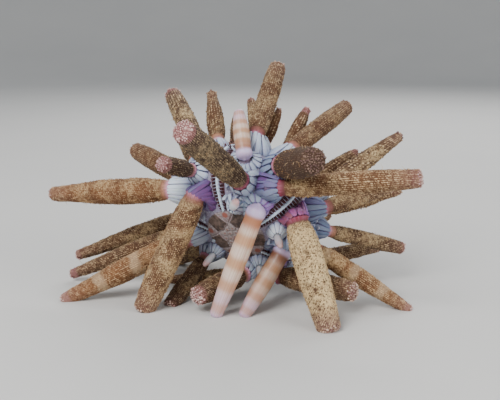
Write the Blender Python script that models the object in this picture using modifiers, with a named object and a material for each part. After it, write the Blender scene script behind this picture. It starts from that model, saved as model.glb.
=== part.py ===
"""A slate-pencil sea urchin at life size, lying on its side on its lower spines.

The shell is a flattened globe of ten fields that run from the apex to the mouth. Five
broad fields carry the stout primary spines, each on a knob inside a ring of flat
blades, and five narrow fields carry the cross bars that lie over the tube feet.
The apex, with its ring of plates, faces the viewer and dips, and the mouth faces away.

Metres, with +Z up and the viewer looking along +Y. A bearing turns from the viewer
towards +X, and a rise is an angle above the horizontal. On the shell a place is an
arc, the distance from the apex along the surface, and a longitude in degrees.
"""

import math
import random
from collections import namedtuple

import bmesh
import bpy
import numpy as np
from mathutils import Matrix, Vector

MM = 0.001
GAP = 0.3 * MM
SEED = 31

# The shell, and how it lies.
SHELL_RADIUS = 12.1 * MM
SHELL_HALF_HEIGHT = 7.4 * MM
SHELL_ROUNDNESS = 2.25
SHELL_CENTRE = Vector((3.86 * MM, -0.95 * MM, 16.0 * MM))
APEX_BEARING = -24.0
APEX_RISE = -30.0
TURN_ABOUT_APEX = 6.0
SHELL_STEPS = 40
SHELL_ROWS = 14

# The fields of the shell.
FIELDS = 5
FIELD_PITCH = 360.0 / FIELDS
NARROW_FIELD_WIDTH = 16.0
WEDGE_REACH = 2.2 * SHELL_RADIUS
DISC_RADIUS = 5.3 * MM
MOUTH_RADIUS = 5.0 * MM
CAP_DEPTH = 2.2 * MM
CAP_STEPS = 20

# The rows of primary spines: two columns in each broad field.
COLUMN_TURN = 13.5
ROW_OFFSETS = (0.0, 3.9, 7.8, 11.7, 15.0, 17.6)
LAST_ROW_ARC = 25.4 * MM
FIRST_ROW_ARC = {
    (1, "a"): 11.7, (1, "b"): 9.2,
    (2, "a"): 6.7, (2, "b"): 7.6,
    (3, "a"): 7.6, (3, "b"): 8.8,
    (4, "a"): 7.0, (4, "b"): 9.0,
    (5, "a"): 7.0, (5, "b"): 8.6,
}

# Bases that lie off their column: arc in mm and longitude in degrees.
OFF_COLUMN = {
    (1, "a", 0): (0.5, 5.0),
    (2, "a", 1): (0.3, 4.0),
    (2, "b", 0): (-0.1, 3.0),
    (3, "a", 1): (-0.3, -9.0),
    (3, "b", 0): (-0.7, 0.0),
    (5, "b", 0): (0.0, 6.0),
}

# Primary spines: what an unposed one is like at each distance from the apex.
NATURAL_ARC = (6.5, 9.0, 13.0, 18.0, 21.0, 23.0, 25.6)
NATURAL_LENGTH = (15.0, 20.0, 24.0, 22.0, 16.0, 10.0, 6.5)
NATURAL_GIRTH = (3.0, 3.8, 4.2, 4.0, 3.2, 2.3, 1.8)
NATURAL_WANDER = 4.0
TIP_SINK = 0.25 * MM
JOINT_HEIGHT = 1.3 * MM

# The knob under a spine: shares are of its radius, and KNOB_FROM of its height.
BOSS_RADIUS = 1.3 * MM
BOSS_DEPTH = 0.6 * MM
SHOULDER_RISE = 0.15 * MM
SHOULDER_SHARE = 0.85
KNOB_SHARE = 0.5
KNOB_FROM = 0.55
FULL_BOSS_GIRTH = 3.0 * MM

# Shapes of a primary spine: share of the length beyond the neck, share of half the girth.
FORMS = {
    "blunt": ((0.30, 0.98), (0.62, 1.00), (0.93, 0.86), (1.00, 0.76)),
    "stout": ((0.28, 1.00), (0.55, 0.98), (0.85, 0.82), (1.00, 0.72)),
    "spindle": ((0.28, 1.00), (0.50, 0.97), (0.80, 0.70), (1.00, 0.54)),
    "banded": ((0.20, 0.97), (0.45, 1.00), (0.80, 0.80), (1.00, 0.62)),
    "oral": ((0.35, 1.00), (0.75, 0.85), (1.00, 0.55)),
    "young": ((0.50, 1.00), (1.00, 0.62)),
}

# The root of a spine: shares of half the girth at the ring over the joint and at the neck's end.
USUAL_ROOT = (0.74, 0.72)
ROOTS = {"banded": (0.98, 0.88)}
CUP_SHARE = 0.56
NECK_END = 2.4 * MM
NECKS_IN_LENGTH = 5.0
RING_AT = 0.7 * MM
BAR_CLEARANCE = 0.36 * MM
ROOT_DEPTH = 0.5 * MM
SPINE_SIDES = 8
SMALL_SPINE_SIDES = 6
SMALL_GIRTH = 2.6 * MM

# The ring of flat blades round a primary spine.
BLADES_IN_RING = 6
BLADE_RING_RADIUS = 2.2 * MM
BLADE_LENGTH = 2.7 * MM
BLADE_WIDTH = 1.0 * MM
BLADE_THICKNESS = 0.5 * MM
BLADE_ROOT_DEPTH = 0.4 * MM
BLADE_TIP_SHARE = 0.6
BLADE_OFF_NECK = 0.25 * MM
BLADE_OFF_CAP = 0.6 * MM
BLADE_OFF_EDGE = 1.5 * GAP

# The narrow fields.
RIDGE_WIDTH = 5.0
RIDGE_HEIGHT = 0.25 * MM
BAR_PITCH = 1.8 * MM
BAR_WIDTH = 0.5 * MM
BAR_HEIGHT = 0.3 * MM
BAR_DEPTH = 0.4 * MM
BAR_INSET = 3 * GAP

# The apex and the mouth.
GENITAL_PLATE_RADIUS = 1.65 * MM
GENITAL_PLATE_AT = 3.1 * MM
OCULAR_PLATE_RADIUS = 0.85 * MM
OCULAR_PLATE_AT = 4.35 * MM
PLATE_RISE = 0.22 * MM
PLATE_DEPTH = 0.5 * MM
PLATE_TOP_SHARE = 0.9
GENITAL_PLATE_SIDES = 6
OCULAR_PLATE_SIDES = 5
VENT_RADIUS = 1.5 * MM
VENT_TOP_SHARE = 0.5
VENT_RISE = 0.45 * MM
VENT_SIDES = 10
TOOTH_LENGTH = 1.7 * MM
TOOTH_WIDTH = 0.9 * MM
TOOTH_TIP_SHARE = 0.24
TOOTH_SUNK_SHARE = 0.6
TOOTH_LEAN = 0.25
TOOTH_AT = 0.75 * MM
MOUTH_RIM_RADIUS = 0.55 * MOUTH_RADIUS
MOUTH_RIM_INNER = 0.35 * MOUTH_RADIUS
MOUTH_RIM_RISE = 0.35 * MM
MOUTH_RIM_SIDES = 15

# The floor, which cuts the tips that stand on it, and the angle past which an edge stays sharp.
GROUND_WIDTH = 200 * MM
GROUND_DEPTH = 20 * MM
SHARP_ANGLE = 50.0

# Colours: base colour, roughness.
FINISHES = {
    "spine_field": ((0.55, 0.42, 0.30), 0.8),
    "foot_field": ((0.16, 0.05, 0.07), 0.5),
    "apex": ((0.42, 0.34, 0.30), 0.6),
    "mouth": ((0.60, 0.50, 0.45), 0.6),
}

FLOOR = "floor"

# Spines that are seen in their pose: bearing, rise, length in mm or down to the floor,
# girth in mm and form.
POSED = {
    (1, "a", 0): (-106, -5, 25.4, 4.6, "spindle"),
    (1, "a", 1): (-150, 5, 21.0, 3.8, "blunt"),
    (1, "a", 2): (-165, 14, 17.0, 3.6, "spindle"),
    (1, "b", 0): (-80, -65, FLOOR, 4.6, "blunt"),
    (1, "b", 1): (-33, 15, 8.8, 3.0, "blunt"),
    (1, "b", 2): (-160, 25, 20.0, 3.7, "blunt"),
    (1, "b", 3): (-172, 34, 15.0, 3.2, "spindle"),
    (2, "a", 0): (22, 41, 2.6, 1.6, "young"),
    (2, "a", 1): (-27, 30, 21.0, 4.1, "blunt"),
    (2, "a", 2): (-165, 62, 8.0, 2.7, "banded"),
    (2, "a", 3): (163, 38, 19.0, 3.6, "blunt"),
    (2, "a", 4): (-171, 30, 12.5, 2.7, "spindle"),
    (2, "b", 0): (-86, -69, FLOOR, 3.2, "banded"),
    (2, "b", 1): (74, 7, 24.6, 3.6, "blunt"),
    (2, "b", 2): (14, 12, 17.5, 4.8, "blunt"),
    (2, "b", 3): (140, 20, 19.0, 3.4, "blunt"),
    (2, "b", 4): (150, 40, 11.0, 2.5, "oral"),
    (3, "a", 0): (12, -24, 3.0, 1.3, "young"),
    (3, "a", 1): (31, -59, FLOOR, 5.1, "stout"),
    (3, "a", 2): (127, 5, 17.5, 2.9, "spindle"),
    (3, "a", 3): (112, 30, 18.0, 3.4, "spindle"),
    (3, "b", 0): (-57, -52, FLOOR, 3.1, "banded"),
    (3, "b", 1): (81, -32, FLOOR, 3.3, "spindle"),
    (3, "b", 2): (122, -18, 19.5, 2.8, "blunt"),
    (4, "a", 0): (10, -50, 2.6, 1.3, "young"),
    (4, "a", 1): (52, 0, 16.2, 4.0, "blunt"),
    (4, "a", 2): (125, 0, 22.0, 2.8, "blunt"),
    (4, "a", 3): (160, -25, FLOOR, 3.6, "blunt"),
    (4, "b", 0): (-41, -6, 13.0, 4.0, "blunt"),
    (4, "b", 1): (-103, -10, FLOOR, 2.6, "spindle"),
    (4, "b", 2): (165, -20, FLOOR, 3.3, "blunt"),
    (5, "a", 0): (-40, -30, 3.0, 1.3, "young"),
    (5, "a", 1): (-35, -32, FLOOR, 3.2, "blunt"),
    (5, "a", 2): (-150, -22, FLOOR, 3.8, "blunt"),
    (5, "b", 0): (-84, -26, FLOOR, 4.2, "spindle"),
    (5, "b", 1): (-101, -23, 25.0, 3.3, "spindle"),
    (5, "b", 2): (-97, -21, 24.4, 3.4, "spindle"),
}

Spine = namedtuple("Spine", "field column row base normal joint axis length girth form arc longitude")


def heading(bearing, rise):
    """The unit vector at a bearing and a rise."""
    turn = math.radians(bearing)
    lift = math.radians(rise)
    return Vector((
        math.sin(turn) * math.cos(lift),
        -math.cos(turn) * math.cos(lift),
        math.sin(lift),
    ))


def shell_frame():
    """The shell's own axes: +X at longitude 0, +Z from the apex to the mouth."""
    apex = heading(APEX_BEARING, APEX_RISE)
    level = Vector((0.0, 0.0, 1.0)).cross(apex).normalized()
    upper = apex.cross(level)
    turn = math.radians(TURN_ABOUT_APEX)
    first = upper * math.sin(turn) - level * math.cos(turn)
    second = upper * math.cos(turn) + level * math.sin(turn)
    axes = Matrix((first, second, -apex)).transposed().to_4x4()
    return Matrix.Translation(SHELL_CENTRE) @ axes


def shell_profile(steps):
    """Radius and depth of the shell from the apex to the mouth, as a rounded ellipse."""
    angle = np.linspace(0.0, math.pi, steps + 1)
    power = 2.0 / SHELL_ROUNDNESS
    radius = SHELL_RADIUS * np.abs(np.sin(angle)) ** power
    depth = -SHELL_HALF_HEIGHT * np.sign(np.cos(angle)) * np.abs(np.cos(angle)) ** power
    return radius, depth


FINE_RADIUS, FINE_DEPTH = shell_profile(1440)
FINE_ARC = np.concatenate(([0.0], np.cumsum(np.hypot(np.diff(FINE_RADIUS), np.diff(FINE_DEPTH)))))
MOUTH_ARC = FINE_ARC[-1] - float(np.interp(MOUTH_RADIUS, FINE_RADIUS[:720], FINE_ARC[:720]))
DISC_ARC = float(np.interp(DISC_RADIUS, FINE_RADIUS[:720], FINE_ARC[:720]))


def shell_place(arc, longitude, lift=0.0):
    """A point on the shell, or lifted off it, and the way out there, in the shell's own axes."""
    radius = float(np.interp(arc, FINE_ARC, FINE_RADIUS))
    depth = float(np.interp(arc, FINE_ARC, FINE_DEPTH))
    slope = SHELL_ROUNDNESS - 1.0
    across = (radius / SHELL_RADIUS) ** slope / SHELL_RADIUS
    along = math.copysign((abs(depth) / SHELL_HALF_HEIGHT) ** slope / SHELL_HALF_HEIGHT, depth)
    turn = math.radians(longitude)
    round_axis = Vector((math.cos(turn), math.sin(turn), 0.0))
    out = (round_axis * across + Vector((0.0, 0.0, along))).normalized()
    return round_axis * radius + Vector((0.0, 0.0, depth)) + out * lift, out


def field_centre(field):
    """The longitude of the middle of a broad field."""
    return (field - 0.5) * FIELD_PITCH


def joint_height(axis, normal, girth, form):
    """How far over the shell a spine turns, so that a leaning one clears the bars beside it."""
    ring_share, _ = ROOTS.get(form, USUAL_ROOT)
    upright = max(-1.0, min(1.0, axis.dot(normal)))
    reach = ring_share * girth / 2 * math.sqrt(1.0 - upright * upright) - RING_AT * upright
    return max(JOINT_HEIGHT, reach + BAR_HEIGHT + BAR_CLEARANCE)


def length_to_floor(joint, axis):
    """How long a spine is whose tip just sinks through the floor."""
    return (joint.z + TIP_SINK) / -axis.z


def natural_pose(place, axes, draw):
    """Bearing-free pose of a hidden spine: straight out of the shell, wandering a little."""
    arc, out = place
    length = float(np.interp(arc / MM, NATURAL_ARC, NATURAL_LENGTH)) * MM
    girth = float(np.interp(arc / MM, NATURAL_ARC, NATURAL_GIRTH)) * MM
    wander = Vector((draw.uniform(-1, 1), draw.uniform(-1, 1), draw.uniform(-1, 1)))
    axis = (axes @ out + wander * math.radians(NATURAL_WANDER)).normalized()
    form = "oral" if girth < SMALL_GIRTH else draw.choice(("blunt", "spindle"))
    return axis, length, girth, form


def lay_out_spines():
    """All the primary spines, with their places in world axes."""
    frame = shell_frame()
    axes = frame.to_3x3()
    draw = random.Random(SEED)
    spines = []
    for (field, column), first in FIRST_ROW_ARC.items():
        middle = field_centre(field) + (COLUMN_TURN if column == "b" else -COLUMN_TURN)
        for row, offset in enumerate(ROW_OFFSETS):
            arc_shift, turn_shift = OFF_COLUMN.get((field, column, row), (0.0, 0.0))
            arc = (first + offset + arc_shift) * MM
            longitude = middle + turn_shift
            if arc > LAST_ROW_ARC:
                continue
            point, out = shell_place(arc, longitude)
            base = frame @ point
            normal = axes @ out
            axis, length, girth, form = natural_pose((arc, out), axes, draw)
            if (field, column, row) in POSED:
                bearing, rise, reach, width, form = POSED[field, column, row]
                axis = heading(bearing, rise)
                girth = width * MM
                length = None if reach == FLOOR else reach * MM
            joint = base + normal * joint_height(axis, normal, girth, form)
            if length is None:
                length = length_to_floor(joint, axis)
            spines.append(
                Spine(field, column, row, base, normal, joint, axis, length, girth, form, arc, longitude)
            )
    return spines


def spine_outline(spine):
    """Radius and distance from the joint at each ring of a spine, from its root to its tip."""
    half = spine.girth / 2
    scale = min(1.0, spine.length / (NECKS_IN_LENGTH * NECK_END))
    neck_end = NECK_END * scale
    ring_share, neck_share = ROOTS.get(spine.form, USUAL_ROOT)
    rings = [
        (CUP_SHARE * half, -ROOT_DEPTH * scale),
        (ring_share * half, RING_AT * scale),
        (neck_share * half, neck_end),
    ]
    for share, width in FORMS[spine.form]:
        rings.append((width * half, neck_end + share * (spine.length - neck_end)))
    return rings


def place_along(axis, origin):
    """The matrix that puts local +Z along an axis at an origin."""
    return Matrix.Translation(origin) @ axis.to_track_quat("Z", "Y").to_matrix().to_4x4()


def link(obj):
    """Puts an object in the scene's main collection."""
    bpy.context.scene.collection.objects.link(obj)
    return obj


def finish_modifiers(obj):
    """Turns what an object's modifiers make into its mesh."""
    bpy.context.view_layer.update()
    graph = bpy.context.evaluated_depsgraph_get()
    mesh = bpy.data.meshes.new_from_object(obj.evaluated_get(graph))
    obj.modifiers.clear()
    obj.data = mesh
    return obj


def turned(name, rings, sides):
    """A closed turned piece: rings of radius and height, from its bottom to its top."""
    profile = [(0.0, rings[-1][1])] + list(reversed(rings)) + [(0.0, rings[0][1])]
    mesh = bpy.data.meshes.new(name)
    mesh.from_pydata(
        [(radius, 0.0, height) for radius, height in profile],
        [(i, i + 1) for i in range(len(profile) - 1)],
        [],
    )
    obj = link(bpy.data.objects.new(name, mesh))
    screw = obj.modifiers.new("turn", "SCREW")
    screw.axis = "Z"
    screw.steps = sides
    screw.render_steps = sides
    screw.use_merge_vertices = True
    screw.merge_threshold = 0.00001
    return finish_modifiers(obj)


def from_bmesh(name, shape):
    """A new object from a bmesh, which is freed."""
    mesh = bpy.data.meshes.new(name)
    shape.to_mesh(mesh)
    shape.free()
    return link(bpy.data.objects.new(name, mesh))


def boolean(obj, operation, other):
    """Cuts or joins an object with another object, or with every object of a collection."""
    change = obj.modifiers.new("change", "BOOLEAN")
    change.operation = operation
    change.solver = "MANIFOLD"
    if isinstance(other, bpy.types.Collection):
        change.operand_type = "COLLECTION"
        change.collection = other
    else:
        change.object = other
    return finish_modifiers(obj)


def remove(*objects):
    """Deletes objects and their meshes."""
    for obj in objects:
        mesh = obj.data
        bpy.data.objects.remove(obj)
        bpy.data.meshes.remove(mesh)


def keep_largest_surface(obj):
    """Drops every closed surface of a mesh but the one with the most volume."""
    shape = bmesh.new()
    shape.from_mesh(obj.data)
    left = set(shape.faces)
    surfaces = []
    while left:
        group = {left.pop()}
        edge_of = list(group)
        while edge_of:
            face = edge_of.pop()
            near = {other for edge in face.edges for other in edge.link_faces} & left
            left -= near
            group |= near
            edge_of.extend(near)
        volume = sum(
            face.calc_center_median().dot(face.normal) * face.calc_area() for face in group
        )
        surfaces.append((volume, len(surfaces), group))
    surfaces.sort(key=lambda entry: entry[:2])
    spare = [face for entry in surfaces[:-1] for face in entry[2]]
    bmesh.ops.delete(shape, geom=spare, context="FACES")
    shape.to_mesh(obj.data)
    shape.free()


def fuse(node, pieces):
    """Joins pieces to a node with one union, and keeps its largest closed surface."""
    group = bpy.data.collections.new(node.name + "_pieces")
    bpy.context.scene.collection.children.link(group)
    for piece in pieces:
        group.objects.link(piece)
    boolean(node, "UNION", group)
    remove(*pieces)
    bpy.data.collections.remove(group)
    keep_largest_surface(node)
    return node


def make_shell(name, extra=0.0):
    """The whole shell, or a slightly larger one, as a turned shape."""
    radius, depth = shell_profile(SHELL_ROWS)
    grow = 1.0 + extra / SHELL_RADIUS
    rings = [(float(r) * grow, float(d) * grow) for r, d in zip(radius, depth)]
    profile = [(0.0, rings[-1][1])] + rings[-2:0:-1] + [(0.0, rings[0][1])]
    mesh = bpy.data.meshes.new(name)
    mesh.from_pydata(
        [(r, 0.0, d) for r, d in profile], [(i, i + 1) for i in range(len(profile) - 1)], []
    )
    obj = link(bpy.data.objects.new(name, mesh))
    screw = obj.modifiers.new("turn", "SCREW")
    screw.steps = SHELL_STEPS
    screw.render_steps = SHELL_STEPS
    screw.use_merge_vertices = True
    screw.merge_threshold = 0.00001
    return finish_modifiers(obj)


def make_wedge(name, centre, width):
    """A prism as wide as a field less its share of the gap, with its edge on the shell's axis."""
    half = math.radians(width / 2)
    inner = GAP / 2 / math.sin(half)
    shape = bmesh.new()
    bmesh.ops.create_cone(
        shape, cap_ends=True, segments=3, radius1=1.0, radius2=1.0, depth=4 * SHELL_HALF_HEIGHT
    )
    far = Vector((inner + WEDGE_REACH * math.cos(half), WEDGE_REACH * math.sin(half)))
    corners = (Vector((inner, 0.0)), Vector((far.x, -far.y)), far)
    spin = Matrix.Rotation(math.radians(centre), 2)
    angles = sorted({round(math.atan2(vert.co.y, vert.co.x), 3) for vert in shape.verts})
    for vert in shape.verts:
        which = angles.index(round(math.atan2(vert.co.y, vert.co.x), 3))
        vert.co.xy = spin @ corners[which]
    return from_bmesh(name, shape)


def make_cap_cutter(name, radius, side, clearance=0.0):
    """A cylinder over one end of the shell, with clearance: -1 for the apex, 1 for the mouth."""
    height = SHELL_HALF_HEIGHT
    reach = SHELL_HALF_HEIGHT - CAP_DEPTH - clearance + height / 2
    shape = bmesh.new()
    bmesh.ops.create_cone(
        shape,
        cap_ends=True,
        segments=CAP_STEPS,
        radius1=radius + clearance,
        radius2=radius + clearance,
        depth=height,
    )
    bmesh.ops.translate(shape, vec=(0.0, 0.0, side * reach), verts=shape.verts)
    return from_bmesh(name, shape)


def make_field(name, centre, width, pieces=()):
    """One field of the shell with the low pieces on it, clear of the cap at each end."""
    node = make_shell(name)
    if pieces:
        fuse(node, pieces)
    wedge = make_wedge("wedge", centre, width)
    apex_cap = make_cap_cutter("apex_cap", DISC_RADIUS, -1, GAP)
    mouth_cap = make_cap_cutter("mouth_cap", MOUTH_RADIUS, 1, GAP)
    boolean(node, "INTERSECT", wedge)
    boolean(node, "DIFFERENCE", apex_cap)
    boolean(node, "DIFFERENCE", mouth_cap)
    remove(wedge, apex_cap, mouth_cap)
    return node


def make_boss(spine, to_shell):
    """The knob that a primary spine turns on."""
    radius = BOSS_RADIUS * min(1.0, spine.girth / FULL_BOSS_GIRTH)
    height = (spine.joint - spine.base).length
    rings = [
        (radius, -BOSS_DEPTH),
        (radius * SHOULDER_SHARE, SHOULDER_RISE),
        (radius * KNOB_SHARE, height * KNOB_FROM),
        (radius * KNOB_SHARE, height),
    ]
    boss = turned("boss", rings, SMALL_SPINE_SIDES)
    boss.matrix_world = to_shell @ place_along(spine.normal, spine.base)
    return boss


def make_spine(spine, to_shell):
    """One primary spine, from inside its boss to its tip."""
    sides = SMALL_SPINE_SIDES if spine.girth < SMALL_GIRTH else SPINE_SIDES
    body = turned("spine", spine_outline(spine), sides)
    body.matrix_world = to_shell @ place_along(spine.axis, spine.joint)
    return body


def nearest_gap(start, end, spine):
    """The least distance between a short straight piece and the surface of a spine."""
    rings = spine_outline(spine)
    steps = np.linspace(0.0, 1.0, 7)[:, None]
    points = np.array(start) + steps * (np.array(end) - np.array(start))
    away = points - np.array(spine.joint)
    axis = np.array(spine.axis)
    along = away @ axis
    held = np.clip(along, rings[0][1], rings[-1][1])
    radius = np.interp(held, [at for _, at in rings], [r for r, _ in rings])
    off = np.linalg.norm(away - held[:, None] * axis, axis=1)
    return float((off - radius).min())


def blade_places(spine, spines, frame):
    """Where each blade of a ring starts and ends, and the way its flat faces look."""
    axes = frame.to_3x3()
    radius_here = float(np.interp(spine.arc, FINE_ARC, FINE_RADIUS))
    margin = (NARROW_FIELD_WIDTH - FIELD_PITCH) / 2 + math.degrees(BLADE_OFF_EDGE / radius_here)
    centre = field_centre(spine.field)
    _, neck_share = ROOTS.get(spine.form, USUAL_ROOT)
    neck = neck_share * spine.girth / 2 + BLADE_OFF_NECK + BLADE_THICKNESS / 2
    places = []
    for i in range(BLADES_IN_RING):
        angle = 2 * math.pi * (i + 0.5) / BLADES_IN_RING
        arc = spine.arc + BLADE_RING_RADIUS * math.cos(angle)
        longitude = spine.longitude + math.degrees(BLADE_RING_RADIUS * math.sin(angle) / radius_here)
        longitude = min(max(longitude, centre + margin), centre - margin)
        if not DISC_ARC + BLADE_OFF_CAP < arc < MOUTH_ARC - BLADE_OFF_CAP:
            continue
        point, out = shell_place(arc, longitude)
        root = frame @ point
        away = root - spine.joint
        along = away.dot(spine.axis)
        side = away - spine.axis * along
        spread = side.length
        if spread < neck or abs(spread - neck) > BLADE_LENGTH:
            continue
        climb = math.sqrt(BLADE_LENGTH ** 2 - (spread - neck) ** 2)
        tip = spine.joint + spine.axis * (along + climb) + side.normalized() * neck
        others = [s for s in spines if s is not spine]
        if min(nearest_gap(root, tip, s) for s in others) < GAP + BLADE_WIDTH / 2:
            continue
        places.append((root - axes @ out * BLADE_ROOT_DEPTH, tip, side.normalized()))
    return places


def make_blade(start, end, facing, to_shell):
    """A flat tapered blade from start to end, with its flat faces along facing."""
    run = end - start
    along = run.normalized()
    across = along.cross(facing).normalized()
    shape = bmesh.new()
    bmesh.ops.create_cube(shape, size=1.0)
    for vert in shape.verts:
        share = 1.0 if vert.co.z < 0 else BLADE_TIP_SHARE
        vert.co = Vector((
            vert.co.x * BLADE_WIDTH * share,
            vert.co.y * BLADE_THICKNESS * share,
            (vert.co.z + 0.5) * run.length,
        ))
    blade = from_bmesh("blade", shape)
    axes = Matrix((across, along.cross(across), along)).transposed().to_4x4()
    blade.matrix_world = to_shell @ Matrix.Translation(start) @ axes
    return blade


def make_broad_field(field, spines, frame):
    """A broad field with its bosses, primary spines and blades."""
    to_shell = frame.inverted()
    own = [spine for spine in spines if spine.field == field]
    low = [make_boss(spine, to_shell) for spine in own]
    for spine in own:
        if spine.form not in ("young", "oral"):
            for start, end, facing in blade_places(spine, spines, frame):
                low.append(make_blade(start, end, facing, to_shell))
    width = FIELD_PITCH - NARROW_FIELD_WIDTH
    node = make_field(f"interambulacrum_{field}", field_centre(field), width, low)
    return fuse(node, [make_spine(spine, to_shell) for spine in own])


def make_bar(arc, longitude, length):
    """A low bar across a narrow field, sunk in the shell."""
    point, out = shell_place(arc, longitude, (BAR_HEIGHT - BAR_DEPTH) / 2)
    turn = math.radians(longitude)
    across = Vector((-math.sin(turn), math.cos(turn), 0.0))
    shape = bmesh.new()
    bmesh.ops.create_cube(shape, size=1.0)
    bmesh.ops.scale(shape, vec=(length, BAR_WIDTH, BAR_HEIGHT + BAR_DEPTH), verts=shape.verts)
    bar = from_bmesh("bar", shape)
    axes = Matrix((across, out.cross(across), out)).transposed().to_4x4()
    bar.matrix_world = Matrix.Translation(point) @ axes
    return bar


def make_narrow_field(number):
    """A narrow field with its raised midline and its cross bars."""
    longitude = (number - 1) * FIELD_PITCH
    node = make_field(f"ambulacrum_{number}", longitude, NARROW_FIELD_WIDTH)
    ridge = make_shell("ridge", RIDGE_HEIGHT)
    wedge = make_wedge("ridge_wedge", longitude, RIDGE_WIDTH)
    apex_cap = make_cap_cutter("apex_cap", DISC_RADIUS, -1, BAR_INSET)
    mouth_cap = make_cap_cutter("mouth_cap", MOUTH_RADIUS, 1, BAR_INSET)
    for cutter, kind in ((wedge, "INTERSECT"), (apex_cap, "DIFFERENCE"), (mouth_cap, "DIFFERENCE")):
        boolean(ridge, kind, cutter)
    remove(wedge, apex_cap, mouth_cap)
    pieces = [ridge]
    count = int((MOUTH_ARC - DISC_ARC) / BAR_PITCH)
    for i in range(1, count):
        arc = DISC_ARC + i * BAR_PITCH
        radius = float(np.interp(arc, FINE_ARC, FINE_RADIUS))
        length = radius * math.radians(NARROW_FIELD_WIDTH) - BAR_INSET
        pieces.append(make_bar(arc, longitude, length))
    return fuse(node, pieces)


def make_plate(arc, longitude, radius, sides):
    """A low plate with straight edges, sunk in the apex."""
    point, out = shell_place(arc, longitude, (PLATE_RISE - PLATE_DEPTH) / 2)
    shape = bmesh.new()
    bmesh.ops.create_cone(
        shape,
        cap_ends=True,
        segments=sides,
        radius1=radius,
        radius2=radius * PLATE_TOP_SHARE,
        depth=PLATE_RISE + PLATE_DEPTH,
    )
    plate = from_bmesh("plate", shape)
    plate.matrix_world = place_along(out, point) @ Matrix.Rotation(math.radians(longitude), 4, "Z")
    return plate


def make_apical_disc():
    """The cap at the apex: five large plates, five small ones at the rim, and the vent."""
    node = make_shell("apical_disc")
    cutter = make_cap_cutter("cut", DISC_RADIUS, -1)
    boolean(node, "INTERSECT", cutter)
    remove(cutter)
    pieces = []
    for i in range(FIELDS):
        broad = (i + 0.5) * FIELD_PITCH
        narrow = i * FIELD_PITCH
        pieces.append(make_plate(GENITAL_PLATE_AT, broad, GENITAL_PLATE_RADIUS, GENITAL_PLATE_SIDES))
        pieces.append(make_plate(OCULAR_PLATE_AT, narrow, OCULAR_PLATE_RADIUS, OCULAR_PLATE_SIDES))
    vent_rings = [
        (VENT_RADIUS, -PLATE_DEPTH),
        (VENT_RADIUS, 0.0),
        (VENT_TOP_SHARE * VENT_RADIUS, VENT_RISE),
    ]
    vent = turned("vent", vent_rings, VENT_SIDES)
    vent.matrix_world = place_along(Vector((0.0, 0.0, -1.0)), Vector((0.0, 0.0, -SHELL_HALF_HEIGHT)))
    pieces.append(vent)
    return fuse(node, pieces)


def make_peristome():
    """The cap at the mouth: a raised rim of skin and the tips of the five teeth."""
    node = make_shell("peristome")
    cutter = make_cap_cutter("cut", MOUTH_RADIUS, 1)
    boolean(node, "INTERSECT", cutter)
    remove(cutter)
    rim_rings = [
        (MOUTH_RIM_RADIUS, -PLATE_DEPTH),
        (MOUTH_RIM_RADIUS, 0.0),
        (MOUTH_RIM_INNER, MOUTH_RIM_RISE),
    ]
    rim = turned("rim", rim_rings, MOUTH_RIM_SIDES)
    rim.location.z = SHELL_HALF_HEIGHT
    pieces = [rim]
    sunk = TOOTH_SUNK_SHARE * TOOTH_LENGTH
    tooth_rings = [
        (TOOTH_WIDTH / 2, -sunk),
        (TOOTH_TIP_SHARE * TOOTH_WIDTH / 2, TOOTH_LENGTH - sunk + MOUTH_RIM_RISE),
    ]
    for i in range(FIELDS):
        tooth = turned("tooth", tooth_rings, 4)
        turn = math.radians((i + 0.5) * FIELD_PITCH)
        round_axis = Vector((math.cos(turn), math.sin(turn), 0.0))
        lean = (Vector((0.0, 0.0, 1.0)) - round_axis * TOOTH_LEAN).normalized()
        root = round_axis * TOOTH_AT + Vector((0.0, 0.0, SHELL_HALF_HEIGHT))
        tooth.matrix_world = place_along(lean, root)
        pieces.append(tooth)
    return fuse(node, pieces)


def cut_at_floor(node, frame):
    """Cuts the tips that stand on the floor to small flats at one level."""
    shape = bmesh.new()
    bmesh.ops.create_cube(shape, size=1.0)
    bmesh.ops.scale(shape, vec=(GROUND_WIDTH, GROUND_WIDTH, GROUND_DEPTH), verts=shape.verts)
    bmesh.ops.translate(shape, vec=(0.0, 0.0, -GROUND_DEPTH / 2), verts=shape.verts)
    ground = from_bmesh("ground", shape)
    ground.matrix_world = frame.inverted()
    boolean(node, "DIFFERENCE", ground)
    remove(ground)
    keep_largest_surface(node)


def make_material(name):
    """A plain material in the part's colour."""
    colour, roughness = FINISHES[name]
    material = bpy.data.materials.new(name)
    material.use_nodes = True
    shader = material.node_tree.nodes["Principled BSDF"]
    shader.inputs["Base Color"].default_value = (*colour, 1.0)
    shader.inputs["Roughness"].default_value = roughness
    shader.inputs["Metallic"].default_value = 0.0
    return material


def main():
    for obj in list(bpy.data.objects):
        bpy.data.objects.remove(obj)
    frame = shell_frame()
    spines = lay_out_spines()
    nodes = []
    for number in range(1, FIELDS + 1):
        nodes.append((make_broad_field(number, spines, frame), "spine_field"))
        nodes.append((make_narrow_field(number), "foot_field"))
    nodes.append((make_apical_disc(), "apex"))
    nodes.append((make_peristome(), "mouth"))
    materials = {name: make_material(name) for name in FINISHES}
    collection = bpy.data.collections.new("sea_urchin")
    bpy.context.scene.collection.children.link(collection)
    shell_centre = bpy.data.objects.new("shell_centre", None)
    shell_centre.matrix_world = frame
    collection.objects.link(shell_centre)
    for node, finish in nodes:
        cut_at_floor(node, frame)
        node.data.shade_smooth()
        node.data.set_sharp_from_angle(angle=math.radians(SHARP_ANGLE))
        node.data.materials.clear()
        node.data.materials.append(materials[finish])
        bpy.context.scene.collection.objects.unlink(node)
        collection.objects.link(node)
        node.parent = shell_centre


if __name__ == "__main__":
    main()
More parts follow.
